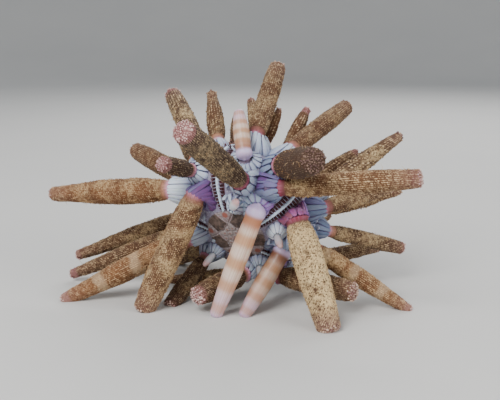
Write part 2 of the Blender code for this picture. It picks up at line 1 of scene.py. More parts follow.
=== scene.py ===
"""A slate-pencil sea urchin at life size, lying on its side on its lower spines.

Run it in Blender: it loads the packed solids as a fixed frame, makes the skin of the shell,
the spines with their turf, the blades, the foot fields and the mouth around them, and sets
a pale stage, soft lights and the camera. Metres, with +Z up and the viewer looking along +Y.
A bearing turns from the viewer towards +X and a rise is an angle above the horizontal. On the
shell a place is an arc, the distance from the apex along the surface, and a longitude.
"""

import math
import random
from collections import namedtuple

import bpy
import numpy as np
from bpy.props import FloatProperty, FloatVectorProperty, IntProperty, PointerProperty
from bpy.types import Operator, Panel, PropertyGroup
from mathutils import Matrix, Vector


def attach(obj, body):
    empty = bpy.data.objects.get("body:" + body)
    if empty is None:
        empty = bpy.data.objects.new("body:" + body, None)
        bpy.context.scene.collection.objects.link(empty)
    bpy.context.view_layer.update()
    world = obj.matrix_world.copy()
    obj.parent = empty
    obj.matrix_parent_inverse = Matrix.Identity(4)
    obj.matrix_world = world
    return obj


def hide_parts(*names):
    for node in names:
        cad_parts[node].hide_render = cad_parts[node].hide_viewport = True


bl_info = {
    "name": "Slate-pencil sea urchin",
    "version": (1, 0, 0),
    "blender": (4, 5, 0),
    "location": "3D View > Sidebar > Urchin",
    "description": "Builds a life-size slate-pencil sea urchin around its packed solids",
    "category": "Add Mesh",
}

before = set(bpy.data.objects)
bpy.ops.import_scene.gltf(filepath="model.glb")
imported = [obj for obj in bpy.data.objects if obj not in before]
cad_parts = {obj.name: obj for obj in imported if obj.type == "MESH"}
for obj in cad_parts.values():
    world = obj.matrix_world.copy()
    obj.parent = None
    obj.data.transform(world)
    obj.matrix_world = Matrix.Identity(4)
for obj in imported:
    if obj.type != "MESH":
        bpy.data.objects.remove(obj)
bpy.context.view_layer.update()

MM = 0.001
SEED = 31
BAKE_MAP = "OFBake"
TUFT_PATCH = 0.003

# The shell and how it lies, as in the solids.
FIELDS = 5
FIELD_PITCH = 360.0 / FIELDS
SHELL_RADIUS = 12.1 * MM
SHELL_HALF_HEIGHT = 7.4 * MM
SHELL_ROUNDNESS = 2.25
SHELL_CENTRE = np.array((3.86, -0.95, 16.0)) * MM
APEX_BEARING = -24.0
APEX_RISE = -30.0
TURN_ABOUT_APEX = 6.0
DISC_RADIUS = 5.3 * MM
MOUTH_RADIUS = 5.0 * MM
FOOT_FIELD_HALF_WIDTH = 8.0

# The columns of primary spines, as in the solids.
COLUMN_TURN = 13.5
ROW_OFFSETS = (0.0, 3.9, 7.8, 11.7, 15.0, 17.6)
LAST_ROW_ARC = 25.4 * MM

# A spine's key is its field, its column and its row. Some stand off their column: arc in mm and
# longitude, both added.
OFF_COLUMN = {
    "1a0": (0.5, 5.0),
    "2a1": (0.3, 4.0),
    "2b0": (-0.1, 3.0),
    "3a1": (-0.3, -9.0),
    "3b0": (-0.7, 0.0),
    "5b0": (0.0, 6.0),
}

# Arc of the first spine of each column, in mm.
FIRST_ROW_ARC = {
    "1a": 11.7, "1b": 9.2,
    "2a": 6.7, "2b": 7.6,
    "3a": 7.6, "3b": 8.8,
    "4a": 7.0, "4b": 9.0,
    "5a": 7.0, "5b": 8.6,
}

# Hidden spines: length and girth in mm by arc in mm, and how far they wander, in degrees.
NATURAL_ARC = (6.5, 9.0, 13.0, 18.0, 21.0, 23.0, 25.6)
NATURAL_LENGTH = (15.0, 20.0, 24.0, 22.0, 16.0, 10.0, 6.5)
NATURAL_GIRTH = (3.0, 3.8, 4.2, 4.0, 3.2, 2.3, 1.8)
NATURAL_WANDER = 4.0
SMALL_GIRTH = 2.6 * MM

# How far a tip sinks into the floor before it is cut flat, and how high a joint lies at least.
TIP_SINK = 0.25 * MM
JOINT_HEIGHT = 1.3 * MM

# The ring at a spine's neck: its share of half the girth, its height and its room over the shell.
USUAL_RING_SHARE = 0.74
RING_SHARE = {"banded": 0.98}
RING_AT = 0.7 * MM
RING_CLEARANCE = 0.66 * MM

# The neck ends here, or sooner on a spine that is shorter than so many necks.
NECKS_IN_LENGTH = 5.0
NECK_END = 2.4 * MM

# Girth shares along a primary spine: share of the length beyond the neck, share of half the girth.
FORMS = {
    "blunt": ((0.06, 0.88), (0.14, 0.95), (0.30, 0.99), (0.62, 1.00), (0.90, 0.89), (1.00, 0.81)),
    "stout": ((0.06, 0.88), (0.16, 0.96), (0.30, 1.00), (0.55, 0.98), (0.85, 0.83), (1.00, 0.75)),
    "spindle": ((0.06, 0.87), (0.16, 0.96), (0.28, 1.00), (0.50, 0.97), (0.80, 0.71), (1.00, 0.55)),
    "banded": ((0.10, 0.97), (0.22, 1.02), (0.45, 1.01), (0.70, 0.90), (0.90, 0.76), (1.00, 0.67)),
    "oral": ((0.15, 0.90), (0.35, 1.00), (0.75, 0.85), (1.00, 0.55)),
    "young": ((0.20, 0.92), (0.50, 1.00), (0.90, 0.80), (1.00, 0.70)),
}

# The root of a spine: mm from the middle of its ring, share of half the girth.
USUAL_ROOT = ((-0.42, 0.60), (-0.20, 0.75), (0.02, 0.79), (0.22, 0.74), (0.55, 0.72), (1.20, 0.78))
ROOTS = {
    "banded": (
        (-1.05, 0.25), (-0.98, 0.42), (-0.83, 0.60), (-0.58, 0.79), (-0.28, 0.92),
        (0.10, 1.01), (0.50, 1.04), (0.95, 1.01), (1.45, 0.95), (2.60, 0.95),
    ),
    "young": ((-0.30, 0.60), (-0.12, 0.72), (0.02, 0.78), (0.15, 0.76), (0.35, 0.78), (0.60, 0.84)),
}
ROOT_START = -0.5
ROOT_START_SHARE = 0.50

# Rings of points over a rounded tip.
TIP_RINGS = 7
YOUNG_TIP_RINGS = 9

# Height of the rounded tip over its radius.
TIP_ROUND = {
    "blunt": 0.36, "stout": 0.40, "spindle": 0.62, "banded": 0.75, "oral": 0.80, "young": 0.95,
}

# The posed spines: bearing, rise, length in mm or down to the floor, girth in mm and form.
FLOOR = "floor"
POSED = {
    "1a0": (-106, -5, 25.4, 4.6, "spindle"),
    "1a1": (-150, 5, 21.0, 3.8, "blunt"),
    "1a2": (-165, 14, 17.0, 3.6, "spindle"),
    "1b0": (-80, -65, FLOOR, 4.6, "blunt"),
    "1b1": (-33, 15, 8.8, 3.0, "blunt"),
    "1b2": (-160, 25, 20.0, 3.7, "blunt"),
    "1b3": (-172, 34, 15.0, 3.2, "spindle"),
    "2a0": (22, 41, 2.6, 1.6, "young"),
    "2a1": (-27, 30, 21.0, 4.1, "blunt"),
    "2a2": (-165, 62, 8.0, 2.7, "banded"),
    "2a3": (163, 38, 19.0, 3.6, "blunt"),
    "2a4": (-171, 30, 12.5, 2.7, "spindle"),
    "2b0": (-86, -69, FLOOR, 3.2, "banded"),
    "2b1": (74, 7, 24.6, 3.6, "blunt"),
    "2b2": (14, 12, 17.5, 4.8, "blunt"),
    "2b3": (140, 20, 19.0, 3.4, "blunt"),
    "2b4": (150, 40, 11.0, 2.5, "oral"),
    "3a0": (12, -24, 3.0, 1.3, "young"),
    "3a1": (31, -59, FLOOR, 5.1, "stout"),
    "3a2": (127, 5, 17.5, 2.9, "spindle"),
    "3a3": (112, 30, 18.0, 3.4, "spindle"),
    "3b0": (-57, -52, FLOOR, 3.1, "banded"),
    "3b1": (81, -32, FLOOR, 3.3, "spindle"),
    "3b2": (122, -18, 19.5, 2.8, "blunt"),
    "4a0": (10, -50, 2.6, 1.3, "young"),
    "4a1": (52, 0, 16.2, 4.0, "blunt"),
    "4a2": (125, 0, 22.0, 2.8, "blunt"),
    "4a3": (160, -25, FLOOR, 3.6, "blunt"),
    "4b0": (-41, -6, 13.0, 4.0, "blunt"),
    "4b1": (-103, -10, FLOOR, 2.6, "spindle"),
    "4b2": (165, -20, FLOOR, 3.3, "blunt"),
    "5a0": (-40, -30, 3.0, 1.3, "young"),
    "5a1": (-35, -32, FLOOR, 3.2, "blunt"),
    "5a2": (-150, -22, FLOOR, 3.8, "blunt"),
    "5b0": (-84, -26, FLOOR, 4.2, "spindle"),
    "5b1": (-101, -23, 25.0, 3.3, "spindle"),
    "5b2": (-97, -21, 24.4, 3.4, "spindle"),
}

# How the seen spines look. From 0 to 1: tone, how pale the shaft is, where a low tone is partly the
# spine's own darker colour and partly painted shade for a spine that lies in shade; warm, how orange;
# neck, from salmon to crimson; bare, the share of the length at the tip where the rows lie open;
# crown, how pink the tip is; blush, how magenta the blades are; white, how white they are, where a
# low white is partly painted shade on blades that lie in shade. In mm from the joint: start, where
# the beads begin, and ring, the middle of the ring. petal is the width of a blade in mm.
Look = namedtuple("Look", "tone warm start ring neck bare crown blush petal white")
LOOKS = {
    "1a0": Look(0.54, 0.85, 2.9, 1.80, 0.22, 0.25, 0.35, 0.08, 0.85, 1.00),
    "1b0": Look(0.60, 0.50, 0.10, -0.30, 0.55, 0.10, 0.30, 0.92, 0.95, 0.08),
    "1b1": Look(0.14, 0.30, 1.6, 0.70, 0.30, 0.20, 1.00, 0.10, 1.10, 0.60),
    "2a0": Look(0.90, 0.20, 0.9, 0.45, 0.10, 0.00, 0.10, 0.05, 0.80, 0.80),
    "2a1": Look(0.24, 0.10, 0.60, 0.40, 0.90, 0.05, 1.00, 0.06, 1.70, 0.50),
    "2b0": Look(0.90, 0.30, 1.1, -0.75, 0.10, 0.00, 0.00, 0.45, 1.00, 0.42),
    "2b1": Look(0.72, 0.60, 2.9, 2.00, 1.00, 0.80, 0.45, 0.40, 1.10, 0.10),
    "2b2": Look(0.06, 0.60, 1.6, 0.60, 0.60, 0.60, 0.03, 0.10, 1.30, 0.05),
    "3a0": Look(0.35, 0.20, 0.9, 0.40, 0.10, 0.00, 0.10, 0.05, 0.70, 1.00),
    "3a1": Look(0.95, 0.25, 0.55, 0.05, 1.00, 0.08, 0.30, 1.10, 0.85, 0.45),
    "3a2": Look(0.45, 0.40, 2.0, 0.70, 0.80, 0.30, 0.45, 0.40, 1.00, 0.05),
    "3b0": Look(0.12, 0.55, 1.0, -0.40, 0.30, 0.00, 0.00, 0.15, 0.90, 0.25),
    "3b1": Look(0.80, 0.80, 1.7, 0.70, 0.40, 0.60, 0.55, 0.10, 1.00, 0.15),
    "3b2": Look(0.50, 0.35, 2.0, 0.70, 0.35, 0.35, 0.50, 0.05, 0.85, 0.05),
    "4a1": Look(0.44, 0.45, 1.6, 0.75, 0.80, 0.95, 0.28, 0.55, 1.00, 0.85),
    "4a2": Look(0.46, 0.35, 2.0, 0.70, 0.40, 0.35, 0.60, 0.15, 1.00, 0.50),
    "4b0": Look(0.30, 0.35, 1.8, 0.70, 0.30, 0.12, 0.55, 0.15, 1.10, 0.50),
    "5a1": Look(0.30, 0.35, 1.9, 0.70, 0.40, 0.15, 0.40, 0.15, 1.00, 0.50),
    "5b0": Look(0.62, 0.95, 2.0, 0.70, 0.35, 0.85, 0.60, 0.15, 1.00, 0.60),
    "5b1": Look(0.44, 0.40, 2.0, 0.70, 0.35, 0.60, 0.95, 0.15, 1.00, 0.60),
    "5b2": Look(0.40, 0.40, 2.0, 0.70, 0.35, 0.35, 0.50, 0.15, 1.00, 0.60),
}

# Old spines with faint pale bands, and all the spines that the camera sees well.
FAINT_BANDS = {"5b0": 0.55, "3b1": 0.45}
FINE_SPINES = set(LOOKS) | {"1a1", "2a3", "2b3", "4a3", "5a2"}

# The turf: how much coarser it is at the back, how high a grain lies, and the threads.
FAR_GRAIN = 1.3
GRAIN_LIFT = 0.05 * MM
THREAD_DROP = np.array((0.0, 0.0, -0.45))
THREAD_WIDTHS = np.array((0.034, 0.028, 0.016)) * MM

# The knob under a spine: share of its half width and share of its height, from the bottom up.
TUBERCLE = (
    (1.15, -0.5), (1.05, 0.02), (0.86, 0.22), (0.62, 0.42), (0.52, 0.52),
    (0.56, 0.60), (0.40, 0.66), (0.34, 0.78), (0.36, 0.9), (0.24, 1.04),
)
TUBERCLE_SIDES = 20
TUBERCLE_HALF = 1.35 * MM
USUAL_GIRTH = 5.5 * MM

# The plates of the apex: arc, longitude, how far each reaches beyond its share, and its kind.
LARGE_PLATE = 0
SMALL_PLATE = 1
VENT_PLATE = 2
APEX_PLATES = (
    [(0.0, 0.0, 0.0, VENT_PLATE)]
    + [(1.00 * MM, 36.0 + i * 72.0, 0.02 * MM, VENT_PLATE) for i in range(5)]
    + [(1.85 * MM, 10.0 + i * 36.0, 0.0, VENT_PLATE) for i in range(10)]
    + [(3.45 * MM, (i + 0.5) * FIELD_PITCH, 0.75 * MM, LARGE_PLATE) for i in range(FIELDS)]
    + [(4.60 * MM, i * FIELD_PITCH, 0.20 * MM, SMALL_PLATE) for i in range(FIELDS)]
)

# The scales round the mouth: from row to row, and degrees from column to column.
SCALE_ROW = 0.72 * MM
SCALE_TURN = 18.0

# Steps along a blade, and shares of its width and depth at all but the first and the last.
BLADE_STEPS = (0.0, 0.06, 0.2, 0.38, 0.56, 0.72, 0.85, 0.94, 0.985, 1.0)
BLADE_WIDTHS = np.array((0.85, 0.95, 1.0, 1.0, 1.0, 1.0, 0.88, 0.55))
BLADE_DEPTHS = np.array((1.0, 1.0, 1.0, 0.95, 0.9, 0.8, 0.65, 0.4))
BLADE_SIDES = 10

# The same for the cross ribs, the tube feet and the teeth, and how far out a foot field is full.
RIB_STEPS = (0.0, 0.04, 0.3, 0.6, 0.85, 0.96, 1.0)
RIB_WIDTHS = np.array((1.0, 1.0, 0.95, 0.85, 0.5))
FOOT_STEPS = (0.0, 0.05, 0.3, 0.6, 0.84, 0.92, 0.98, 1.0)
FOOT_WIDTHS = np.array((1.0, 0.8, 0.7, 0.75, 1.15, 1.05))
TOOTH_STEPS = (0.0, 0.05, 0.3, 0.55, 0.75, 0.9, 0.97, 1.0)
TOOTH_WIDTHS = np.array((1.0, 1.0, 0.95, 0.8, 0.55, 0.3))
WIDE_FIELD_RADIUS = 9.0 * MM

# A banded spine that leans more than this lies over its own blades, which stay flat on the shell.
FLAT_LEAN = 50.0
FLAT_REACH = 1.3
FLAT_LIFT = 0.9 * MM

# How upright the stout spine's blades stay, how far inside and how deep blades are rooted, and the
# limits of their width against the look's petal.
STOUT_HOLD = 0.15
INNER_STEP = 0.3 * MM
BLADE_SINK = 0.15 * MM
LEAST_WIDTH = 0.55
MOST_WIDTH = 1.75
SMALL_BLADE_TRIES = 6200
GOLDEN_TURN = math.pi * (3.0 - math.sqrt(5.0))

# The lights: place and width in metres.
LAMPS = {
    "key": ((-0.16, -0.26, 0.30), 0.22),
    "fill": ((0.30, -0.20, 0.14), 0.26),
    "back": ((0.10, 0.30, 0.28), 0.24),
}

# The floor: flat out to here, then up a quarter round.
FLOOR_SIDES = 64
FLOOR_FLAT = 0.55
FLOOR_BOWL = 0.30
FLOOR_STEPS = 10

Spine = namedtuple(
    "Spine",
    "key base normal joint axis side up length girth form arc longitude look at radius tip_height",
)


def linear(red, green, blue):
    """A colour that is given in screen values from 0 to 255, as the shaders count it."""
    share = np.array((red, green, blue)) / 255.0
    return tuple(np.where(share <= 0.04045, share / 12.92, ((share + 0.055) / 1.055) ** 2.4))


def size(name, description, default):
    """A length that a user can change."""
    return FloatProperty(
        name=name, description=description, default=default, unit="LENGTH", precision=5, min=0.0
    )


def share(name, description, default, most=1.0):
    """A plain number that a user can change."""
    return FloatProperty(name=name, description=description, default=default, min=0.0, max=most)


def tint(name, description, red, green, blue):
    """A colour that a user can change, given in screen values."""
    return FloatVectorProperty(
        name=name, description=description, default=linear(red, green, blue),
        subtype="COLOR", size=3, min=0.0, max=1.0,
    )


class SkinSettings(PropertyGroup):
    """The skin of the shell."""

    rings: IntProperty(name="Rings", description="Rings from apex to mouth", default=252, min=40)
    sides: IntProperty(name="Sides", description="Points round the shell", default=360, min=60)
    areole_radius: size("Areole", "Radius of the bare ring round a tubercle", 2.05 * MM)
    areole_depth: size("Areole depth", "How deep the bare ring lies", 0.18 * MM)
    rim_rise: size("Rim", "How high the rim of that ring stands", 0.12 * MM)
    plate_rise: size("Plate rise", "How far a plate of the apex bulges", 0.20 * MM)
    foot_depth: size("Foot field depth", "How deep the foot fields lie", 0.16 * MM)
    scale_rise: size("Scales", "How far a scale round the mouth lifts", 0.16 * MM)
    lip_rise: size("Lip", "How high the lip round the mouth stands", 0.35 * MM)
    mouth_depth: size("Mouth depth", "How deep the mouth goes", 0.80 * MM)
    uneven_rise: size("Unevenness", "Height of the fine unevenness", 0.03 * MM)
    bare: tint("Bare skin", "Skin in the rings round the tubercles", 128, 118, 144)
    grain: tint("Granules", "Granules between the rings", 190, 192, 204)
    foot: tint("Foot field", "Dark skin of the foot fields", 74, 18, 28)
    pore: tint("Pores", "Pores of the foot fields", 29, 7, 10)
    genital: tint("Large plates", "The five large plates of the apex", 118, 98, 88)
    genital_dark: tint("Dark of the plates", "Darker middle of a large plate", 62, 50, 46)
    ocular: tint("Small plates", "The five small plates of the apex", 150, 88, 76)
    border: tint("Plate borders", "Pale borders of the plates", 190, 186, 188)
    border_dim: tint("Dim borders", "Between the granules of the borders", 134, 116, 116)
    border_stain: tint("Stained borders", "Rosy stain of the borders", 142, 92, 90)
    vent: tint("Vent plates", "The small plates round the vent", 158, 146, 142)
    vent_spot: tint("Vent spots", "Red spots of the plates round the vent", 142, 70, 60)
    mouth: tint("Mouth skin", "Skin and scales round the mouth", 172, 150, 146)


class SpineSettings(PropertyGroup):
    """The primary spines."""

    row_pitch: size("Rows", "Distance from one row of beads to the next", 0.36 * MM)
    ring_pitch: size("Rings", "Half the distance from bead to bead along a row", 0.19 * MM)
    far_coarseness: share("Far spines", "How much coarser a spine at the back is", 1.5, 4.0)
    bead_height: size("Beads", "Height of the rows of beads", 0.20 * MM)
    lump_height: size("Lumps", "Height of the broad unevenness", 0.09 * MM)
    young_row_pitch: size("Young rows", "Distance between the streaks of a young spine", 0.24 * MM)
    young_ring_pitch: size("Young rings", "Distance between its rings of points", 0.22 * MM)
    young_bead_height: size("Young ribs", "Height of its streaks", 0.03 * MM)
    young_lump_height: size("Young lumps", "Height of its unevenness", 0.02 * MM)
    # Pit colours fill the low places between the beads: partly dark pits, partly painted shade in the
    # valleys.
    pit_and_shade: tint("Pits", "Dark pits between the beads", 44, 30, 22)
    pit_edge: tint("Pit edges", "Paler parts of the pits", 96, 74, 54)
    # On a low tone the beads and sand go dim: partly a darker spine, partly painted shade.
    dim_bead: tint("Dim beads", "Beads of a dark spine", 138, 120, 100)
    bead: tint("Beads", "Beads of a pale spine", 238, 208, 160)
    dim_sand: tint("Dim sand", "Sand on a dark spine", 92, 80, 66)
    sand: tint("Sand", "Sand on a pale spine", 242, 212, 156)
    rust: tint("Rust", "Warm stain of some spines", 168, 100, 46)
    # Painted shade: laid over the spines of lowest tone to darken them as if they lay in shade.
    painted_shade: tint("Shade", "Cover of the darkest spines", 46, 34, 27)
    tip_tinge: tint("Tip tinge", "Rosy tinge toward the tip of a pale spine", 158, 112, 108)
    pale_band: tint("Pale bands", "Faint pale bands on some spines", 218, 192, 154)
    crown: tint("Crown", "Skin between the knobs at the tip", 112, 64, 60)
    crown_row: tint("Crown rows", "Ridges at the tip", 206, 158, 152)
    neck_salmon: tint("Salmon neck", "A neck at its palest", 190, 136, 98)
    neck_rose: tint("Rose neck", "A neck at its darkest", 108, 42, 48)
    neck_stain: tint("Neck stain", "Brown stain of the necks", 92, 56, 44)
    collar_pink: tint("Pink collar", "A ring at its palest", 228, 148, 186)
    collar_crimson: tint("Crimson collar", "A ring at its darkest", 142, 14, 60)
    collar_streak: tint("Collar streaks", "Pale streaks of a ring", 240, 214, 232)
    root_pale: tint("Pale root", "A root under a pink collar", 150, 124, 164)
    root_dark: tint("Dark root", "A root under a crimson collar", 96, 74, 106)
    young_cream: tint("Young pale band", "Pale bands of a young spine", 232, 210, 194)
    young_tan: tint("Young warm band", "Warm bands of a young spine", 204, 158, 122)
    # Painted shade: a shaded copy of the young colours, mixed in on a young spine of low tone.
    young_shaded: tint("Dim young spine", "A young spine in its darkest tone", 148, 112, 86)
    young_streak: tint("Young streaks", "Lengthwise streaks of a young spine", 176, 118, 82)
    young_speck: tint("Young specks", "Specks of a young spine", 158, 112, 88)
    young_orange: tint("Young neck", "A young spine under its cap", 188, 120, 84)
    # Painted shade: a shaded copy of the young neck.
    orange_shaded: tint("Dim young neck", "The same in its darkest tone", 110, 70, 52)
    young_tip: tint("Young tip", "Tip of a young spine", 206, 180, 212)
    cap: tint("Cap", "The rounded cap of a young spine", 206, 186, 220)
    cap_root: tint("Cap root", "Underside of that cap", 170, 146, 190)
    new_white: tint("New spine", "The short new spines", 226, 228, 234)
    new_pink: tint("New tip", "Tips of the short new spines", 232, 190, 188)
    # Painted shade: a shaded copy of the new spines' colour.
    new_shaded: tint("Dim new spine", "A new spine in its darkest tone", 132, 116, 120)
    knob: tint("Tubercle", "The knobs that the spines turn on", 206, 190, 208)
    knob_cloud: tint("Tubercle cloud", "Mauve clouds on those knobs", 150, 112, 150)


class TurfSettings(PropertyGroup):
    """The grains and threads on the old spines, and the knobs at their tips."""

    grains_per_mm2: share("Grains", "Grains on a square millimetre of a fine spine", 10.0, 30.0)
    far_grains_per_mm2: share("Far grains", "The same on a spine at the back", 6.0, 30.0)
    grain_size: size("Grain", "Middle half width of a grain", 0.076 * MM)
    knob_pitch: size("Knobs", "Distance from knob to knob at the tip", 0.40 * MM)
    threads: IntProperty(name="Threads", description="Threads on a fine spine", default=34, min=0)
    thread_length: size("Thread", "Length of a usual thread", 0.55 * MM)
    dark: tint("Dark grains", "The darkest grains", 40, 28, 20)
    brown: tint("Brown grains", "Brown grains", 114, 92, 70)
    sandy: tint("Sandy grains", "The common grains", 192, 160, 116)
    pale: tint("Pale grains", "The palest grains", 220, 194, 152)
    warm: tint("Warm grains", "Grains of a warm spine", 176, 118, 66)
    pink: tint("Pink knobs", "Knobs at the tip", 176, 122, 120)
    pink_light: tint("Light knobs", "The palest knobs at the tip", 236, 214, 204)


class BladeSettings(PropertyGroup):
    """The flat blades round the primary spines, and the small ones between them."""

    spread: size("Spread", "How far outside the neck the blades are rooted", 1.15 * MM)
    shared: share("Shared", "How far roots reach toward the next spine, against halfway", 1.0, 2.0)
    bulge: size("Bulge", "How far the blades curve outwards", 0.30 * MM)
    thickness: size("Thickness", "Thickness of a blade", 0.26 * MM)
    small_length: size("Small blade", "Length of a small blade", 1.3 * MM)
    small_width: size("Small width", "Width of a small blade", 0.62 * MM)
    small_thickness: size("Small thickness", "Thickness of a small blade", 0.20 * MM)
    spacing: size("Spacing", "Least distance between small blades", 0.58 * MM)
    areole_clear: size("Clearance", "How far small blades keep off a ring", 0.55 * MM)
    tip: tint("Blade tip", "Free end of a white blade", 222, 232, 244)
    root: tint("Blade root", "Root of a white blade", 172, 180, 210)
    # Painted shade: shaded copies of the blade colours, for blades with little white.
    shaded_tip: tint("Dusky tip", "Free end of a dusky blade", 92, 112, 148)
    shaded_root: tint("Dusky root", "Root of a dusky blade", 58, 68, 102)
    stripe: tint("Stripes", "Fine pale stripes", 236, 242, 250)
    # Lilac edges: partly the blades' own colour, partly painted shade between neighbouring blades.
    edge: tint("Edge", "Lilac edges", 92, 78, 134)
    violet: tint("Violet", "Violet of some blades", 142, 84, 178)
    blush: tint("Blush", "Magenta of some blades", 150, 40, 120)
    crimson: tint("Crimson", "The reddest blades", 128, 12, 46)
    # Painted shade of the magenta, on blushing blades with little white.
    shaded_plum: tint("Plum", "Blushing blades that have little white", 66, 32, 74)


class FootSettings(PropertyGroup):
    """The foot fields."""

    pitch: size("Pitch", "Distance from one row to the next", 0.56 * MM)
    ridge_rise: size("Ridge", "How high the midline blades meet", 0.34 * MM)
    ridge_half: size("Ridge width", "Half width of the midline", 0.22 * MM)
    ridge_thickness: size("Ridge thickness", "Thickness of a midline blade", 0.24 * MM)
    rib_width: size("Rib", "Half width of a cross rib", 0.06 * MM)
    foot_radius: size("Foot", "Radius of a tube foot", 0.12 * MM)
    foot_length: size("Foot length", "Length of a usual tube foot", 0.9 * MM)
    blade: tint("Midline blades", "Blades on the midline", 206, 220, 236)
    blade_root: tint("Midline roots", "Roots of those blades", 132, 134, 160)
    blade_light: tint("Light blades", "The palest of those blades", 236, 242, 248)
    rib: tint("Ribs", "Cross ribs at the midline", 156, 156, 176)
    rib_end: tint("Rib ends", "Cross ribs at the edge", 92, 52, 68)
    rib_light: tint("Light ribs", "The palest ribs", 200, 204, 216)
    foot: tint("Tube feet", "Tube feet", 92, 26, 34)
    foot_dark: tint("Dark feet", "The darkest tube feet", 46, 14, 20)
    sucker: tint("Suckers", "Ends of the tube feet near the mouth", 176, 120, 104)


class MouthSettings(PropertyGroup):
    """The teeth."""

    tooth_length: size("Tooth", "Length of a tooth that shows", 1.6 * MM)
    tooth_width: size("Tooth width", "Width of a tooth", 0.8 * MM)
    tooth: tint("Teeth", "The five teeth", 232, 226, 210)
    stain: tint("Stain", "Clouds on the teeth", 206, 186, 160)


class StageSettings(PropertyGroup):
    """The floor, the lights and the camera."""

    floor: tint("Floor", "The pale floor and backdrop", 214, 212, 208)
    floor_cloud: tint("Floor cloud", "Faint clouds on the floor", 206, 205, 202)
    sky_tint: tint("Sky tint", "Colour of the even light", 239, 246, 255)
    key_power: share("Key light", "Power of the main light in watts", 1.9, 50.0)
    fill_power: share("Fill light", "Power of the light from the other side", 0.75, 50.0)
    back_power: share("Back light", "Power of the light from behind", 0.9, 50.0)
    sky: share("Sky", "Strength of the even light", 0.42, 5.0)
    lens: share("Lens", "Focal length in millimetres", 60.0, 200.0)
    distance: size("Distance", "Camera to the middle of the shell", 147.5 * MM)
    elevation: share("Elevation", "How far the camera looks down, in degrees", 12.0, 80.0)
    shift_right: FloatProperty(name="Right", description="Camera aside", default=-0.09 * MM)
    shift_up: FloatProperty(name="Up", description="Camera raised", default=1.33 * MM)


def smooth(low, high, value):
    """A soft step from 0 at low to 1 at high: three times the square less twice the cube."""
    part = np.clip((value - low) / (high - low), 0.0, 1.0)
    return part * part * (3.0 - 2.0 * part)


def hump(value, middle, width):
    """A bell of height 1: e to the minus square of the distance from its middle over its width."""
    return np.exp(-((value - middle) / width) ** 2)


def unit(vectors):
    """Vectors made one long."""
    return vectors / np.maximum(np.linalg.norm(vectors, axis=-1, keepdims=True), 1e-12)


def turned(vectors, first, second):
    """Vectors turned the short way that takes one unit vector to another: v + wv + w(wv) / (1 + cos)."""
    way = np.cross(first, second)
    once = np.cross(way, vectors)
    return vectors + once + np.cross(way, once) / (1.0 + first @ second)


def spokes(angle, first, second):
    """Ways out round an axis: the cosine along one unit vector and the sine along another."""
    return np.cos(angle)[..., None] * first + np.sin(angle)[..., None] * second


def heading(bearing, rise):
    """The unit vector at a bearing and a rise."""
    turn = math.radians(bearing)
    lift = math.radians(rise)
    return np.array((
        math.sin(turn) * math.cos(lift),
        -math.cos(turn) * math.cos(lift),
        math.sin(lift),
    ))


def shell_axes():
    """Columns are the shell's own axes: +X at longitude 0, +Z from the apex to the mouth."""
    apex = heading(APEX_BEARING, APEX_RISE)
    level = unit(np.cross((0.0, 0.0, 1.0), apex))
    upper = np.cross(apex, level)
    turn = math.radians(TURN_ABOUT_APEX)
    first = upper * math.sin(turn) - level * math.cos(turn)
    second = upper * math.cos(turn) + level * math.sin(turn)
    return np.stack((first, second, -apex), axis=1)


AXES = shell_axes()


def fine_profile(steps=1440):
    """Radius, depth and arc along the rounded ellipse: sine and cosine to two over the roundness."""
    angle = np.linspace(0.0, math.pi, steps + 1)
    power = 2.0 / SHELL_ROUNDNESS
    radius = SHELL_RADIUS * np.abs(np.sin(angle)) ** power
    depth = -SHELL_HALF_HEIGHT * np.sign(np.cos(angle)) * np.abs(np.cos(angle)) ** power
    arc = np.concatenate(([0.0], np.cumsum(np.hypot(np.diff(radius), np.diff(depth)))))
    return radius, depth, arc


FINE_RADIUS, FINE_DEPTH, FINE_ARC = fine_profile()
WHOLE_ARC = FINE_ARC[-1]
DISC_ARC = float(np.interp(DISC_RADIUS, FINE_RADIUS[:720], FINE_ARC[:720]))
MOUTH_ARC = WHOLE_ARC - float(np.interp(MOUTH_RADIUS, FINE_RADIUS[:720], FINE_ARC[:720]))


def radius_at(arc):
    """How far the shell is from its own axis."""
    return np.interp(arc, FINE_ARC, FINE_RADIUS)


def on_shell(arc, longitude, lift=0.0):
    """Points on the shell, or lifted off it, and the ways out there, in world axes."""
    arc, longitude, lift = np.broadcast_arrays(arc, longitude, lift)
    radius = np.interp(arc, FINE_ARC, FINE_RADIUS)
    depth = np.interp(arc, FINE_ARC, FINE_DEPTH)
    slope = SHELL_ROUNDNESS - 1.0
    across = (radius / SHELL_RADIUS) ** slope / SHELL_RADIUS
    along = np.copysign((np.abs(depth) / SHELL_HALF_HEIGHT) ** slope / SHELL_HALF_HEIGHT, depth)
    turn = np.radians(longitude)
    out = unit(np.stack((np.cos(turn) * across, np.sin(turn) * across, along), axis=-1))
    place = np.stack((np.cos(turn) * radius, np.sin(turn) * radius, depth), axis=-1)
    place = place + out * lift[..., None]
    return place @ AXES.T + SHELL_CENTRE, out @ AXES.T


def field_centre(field):
    """The longitude of the middle of a broad field."""
    return (field - 0.5) * FIELD_PITCH


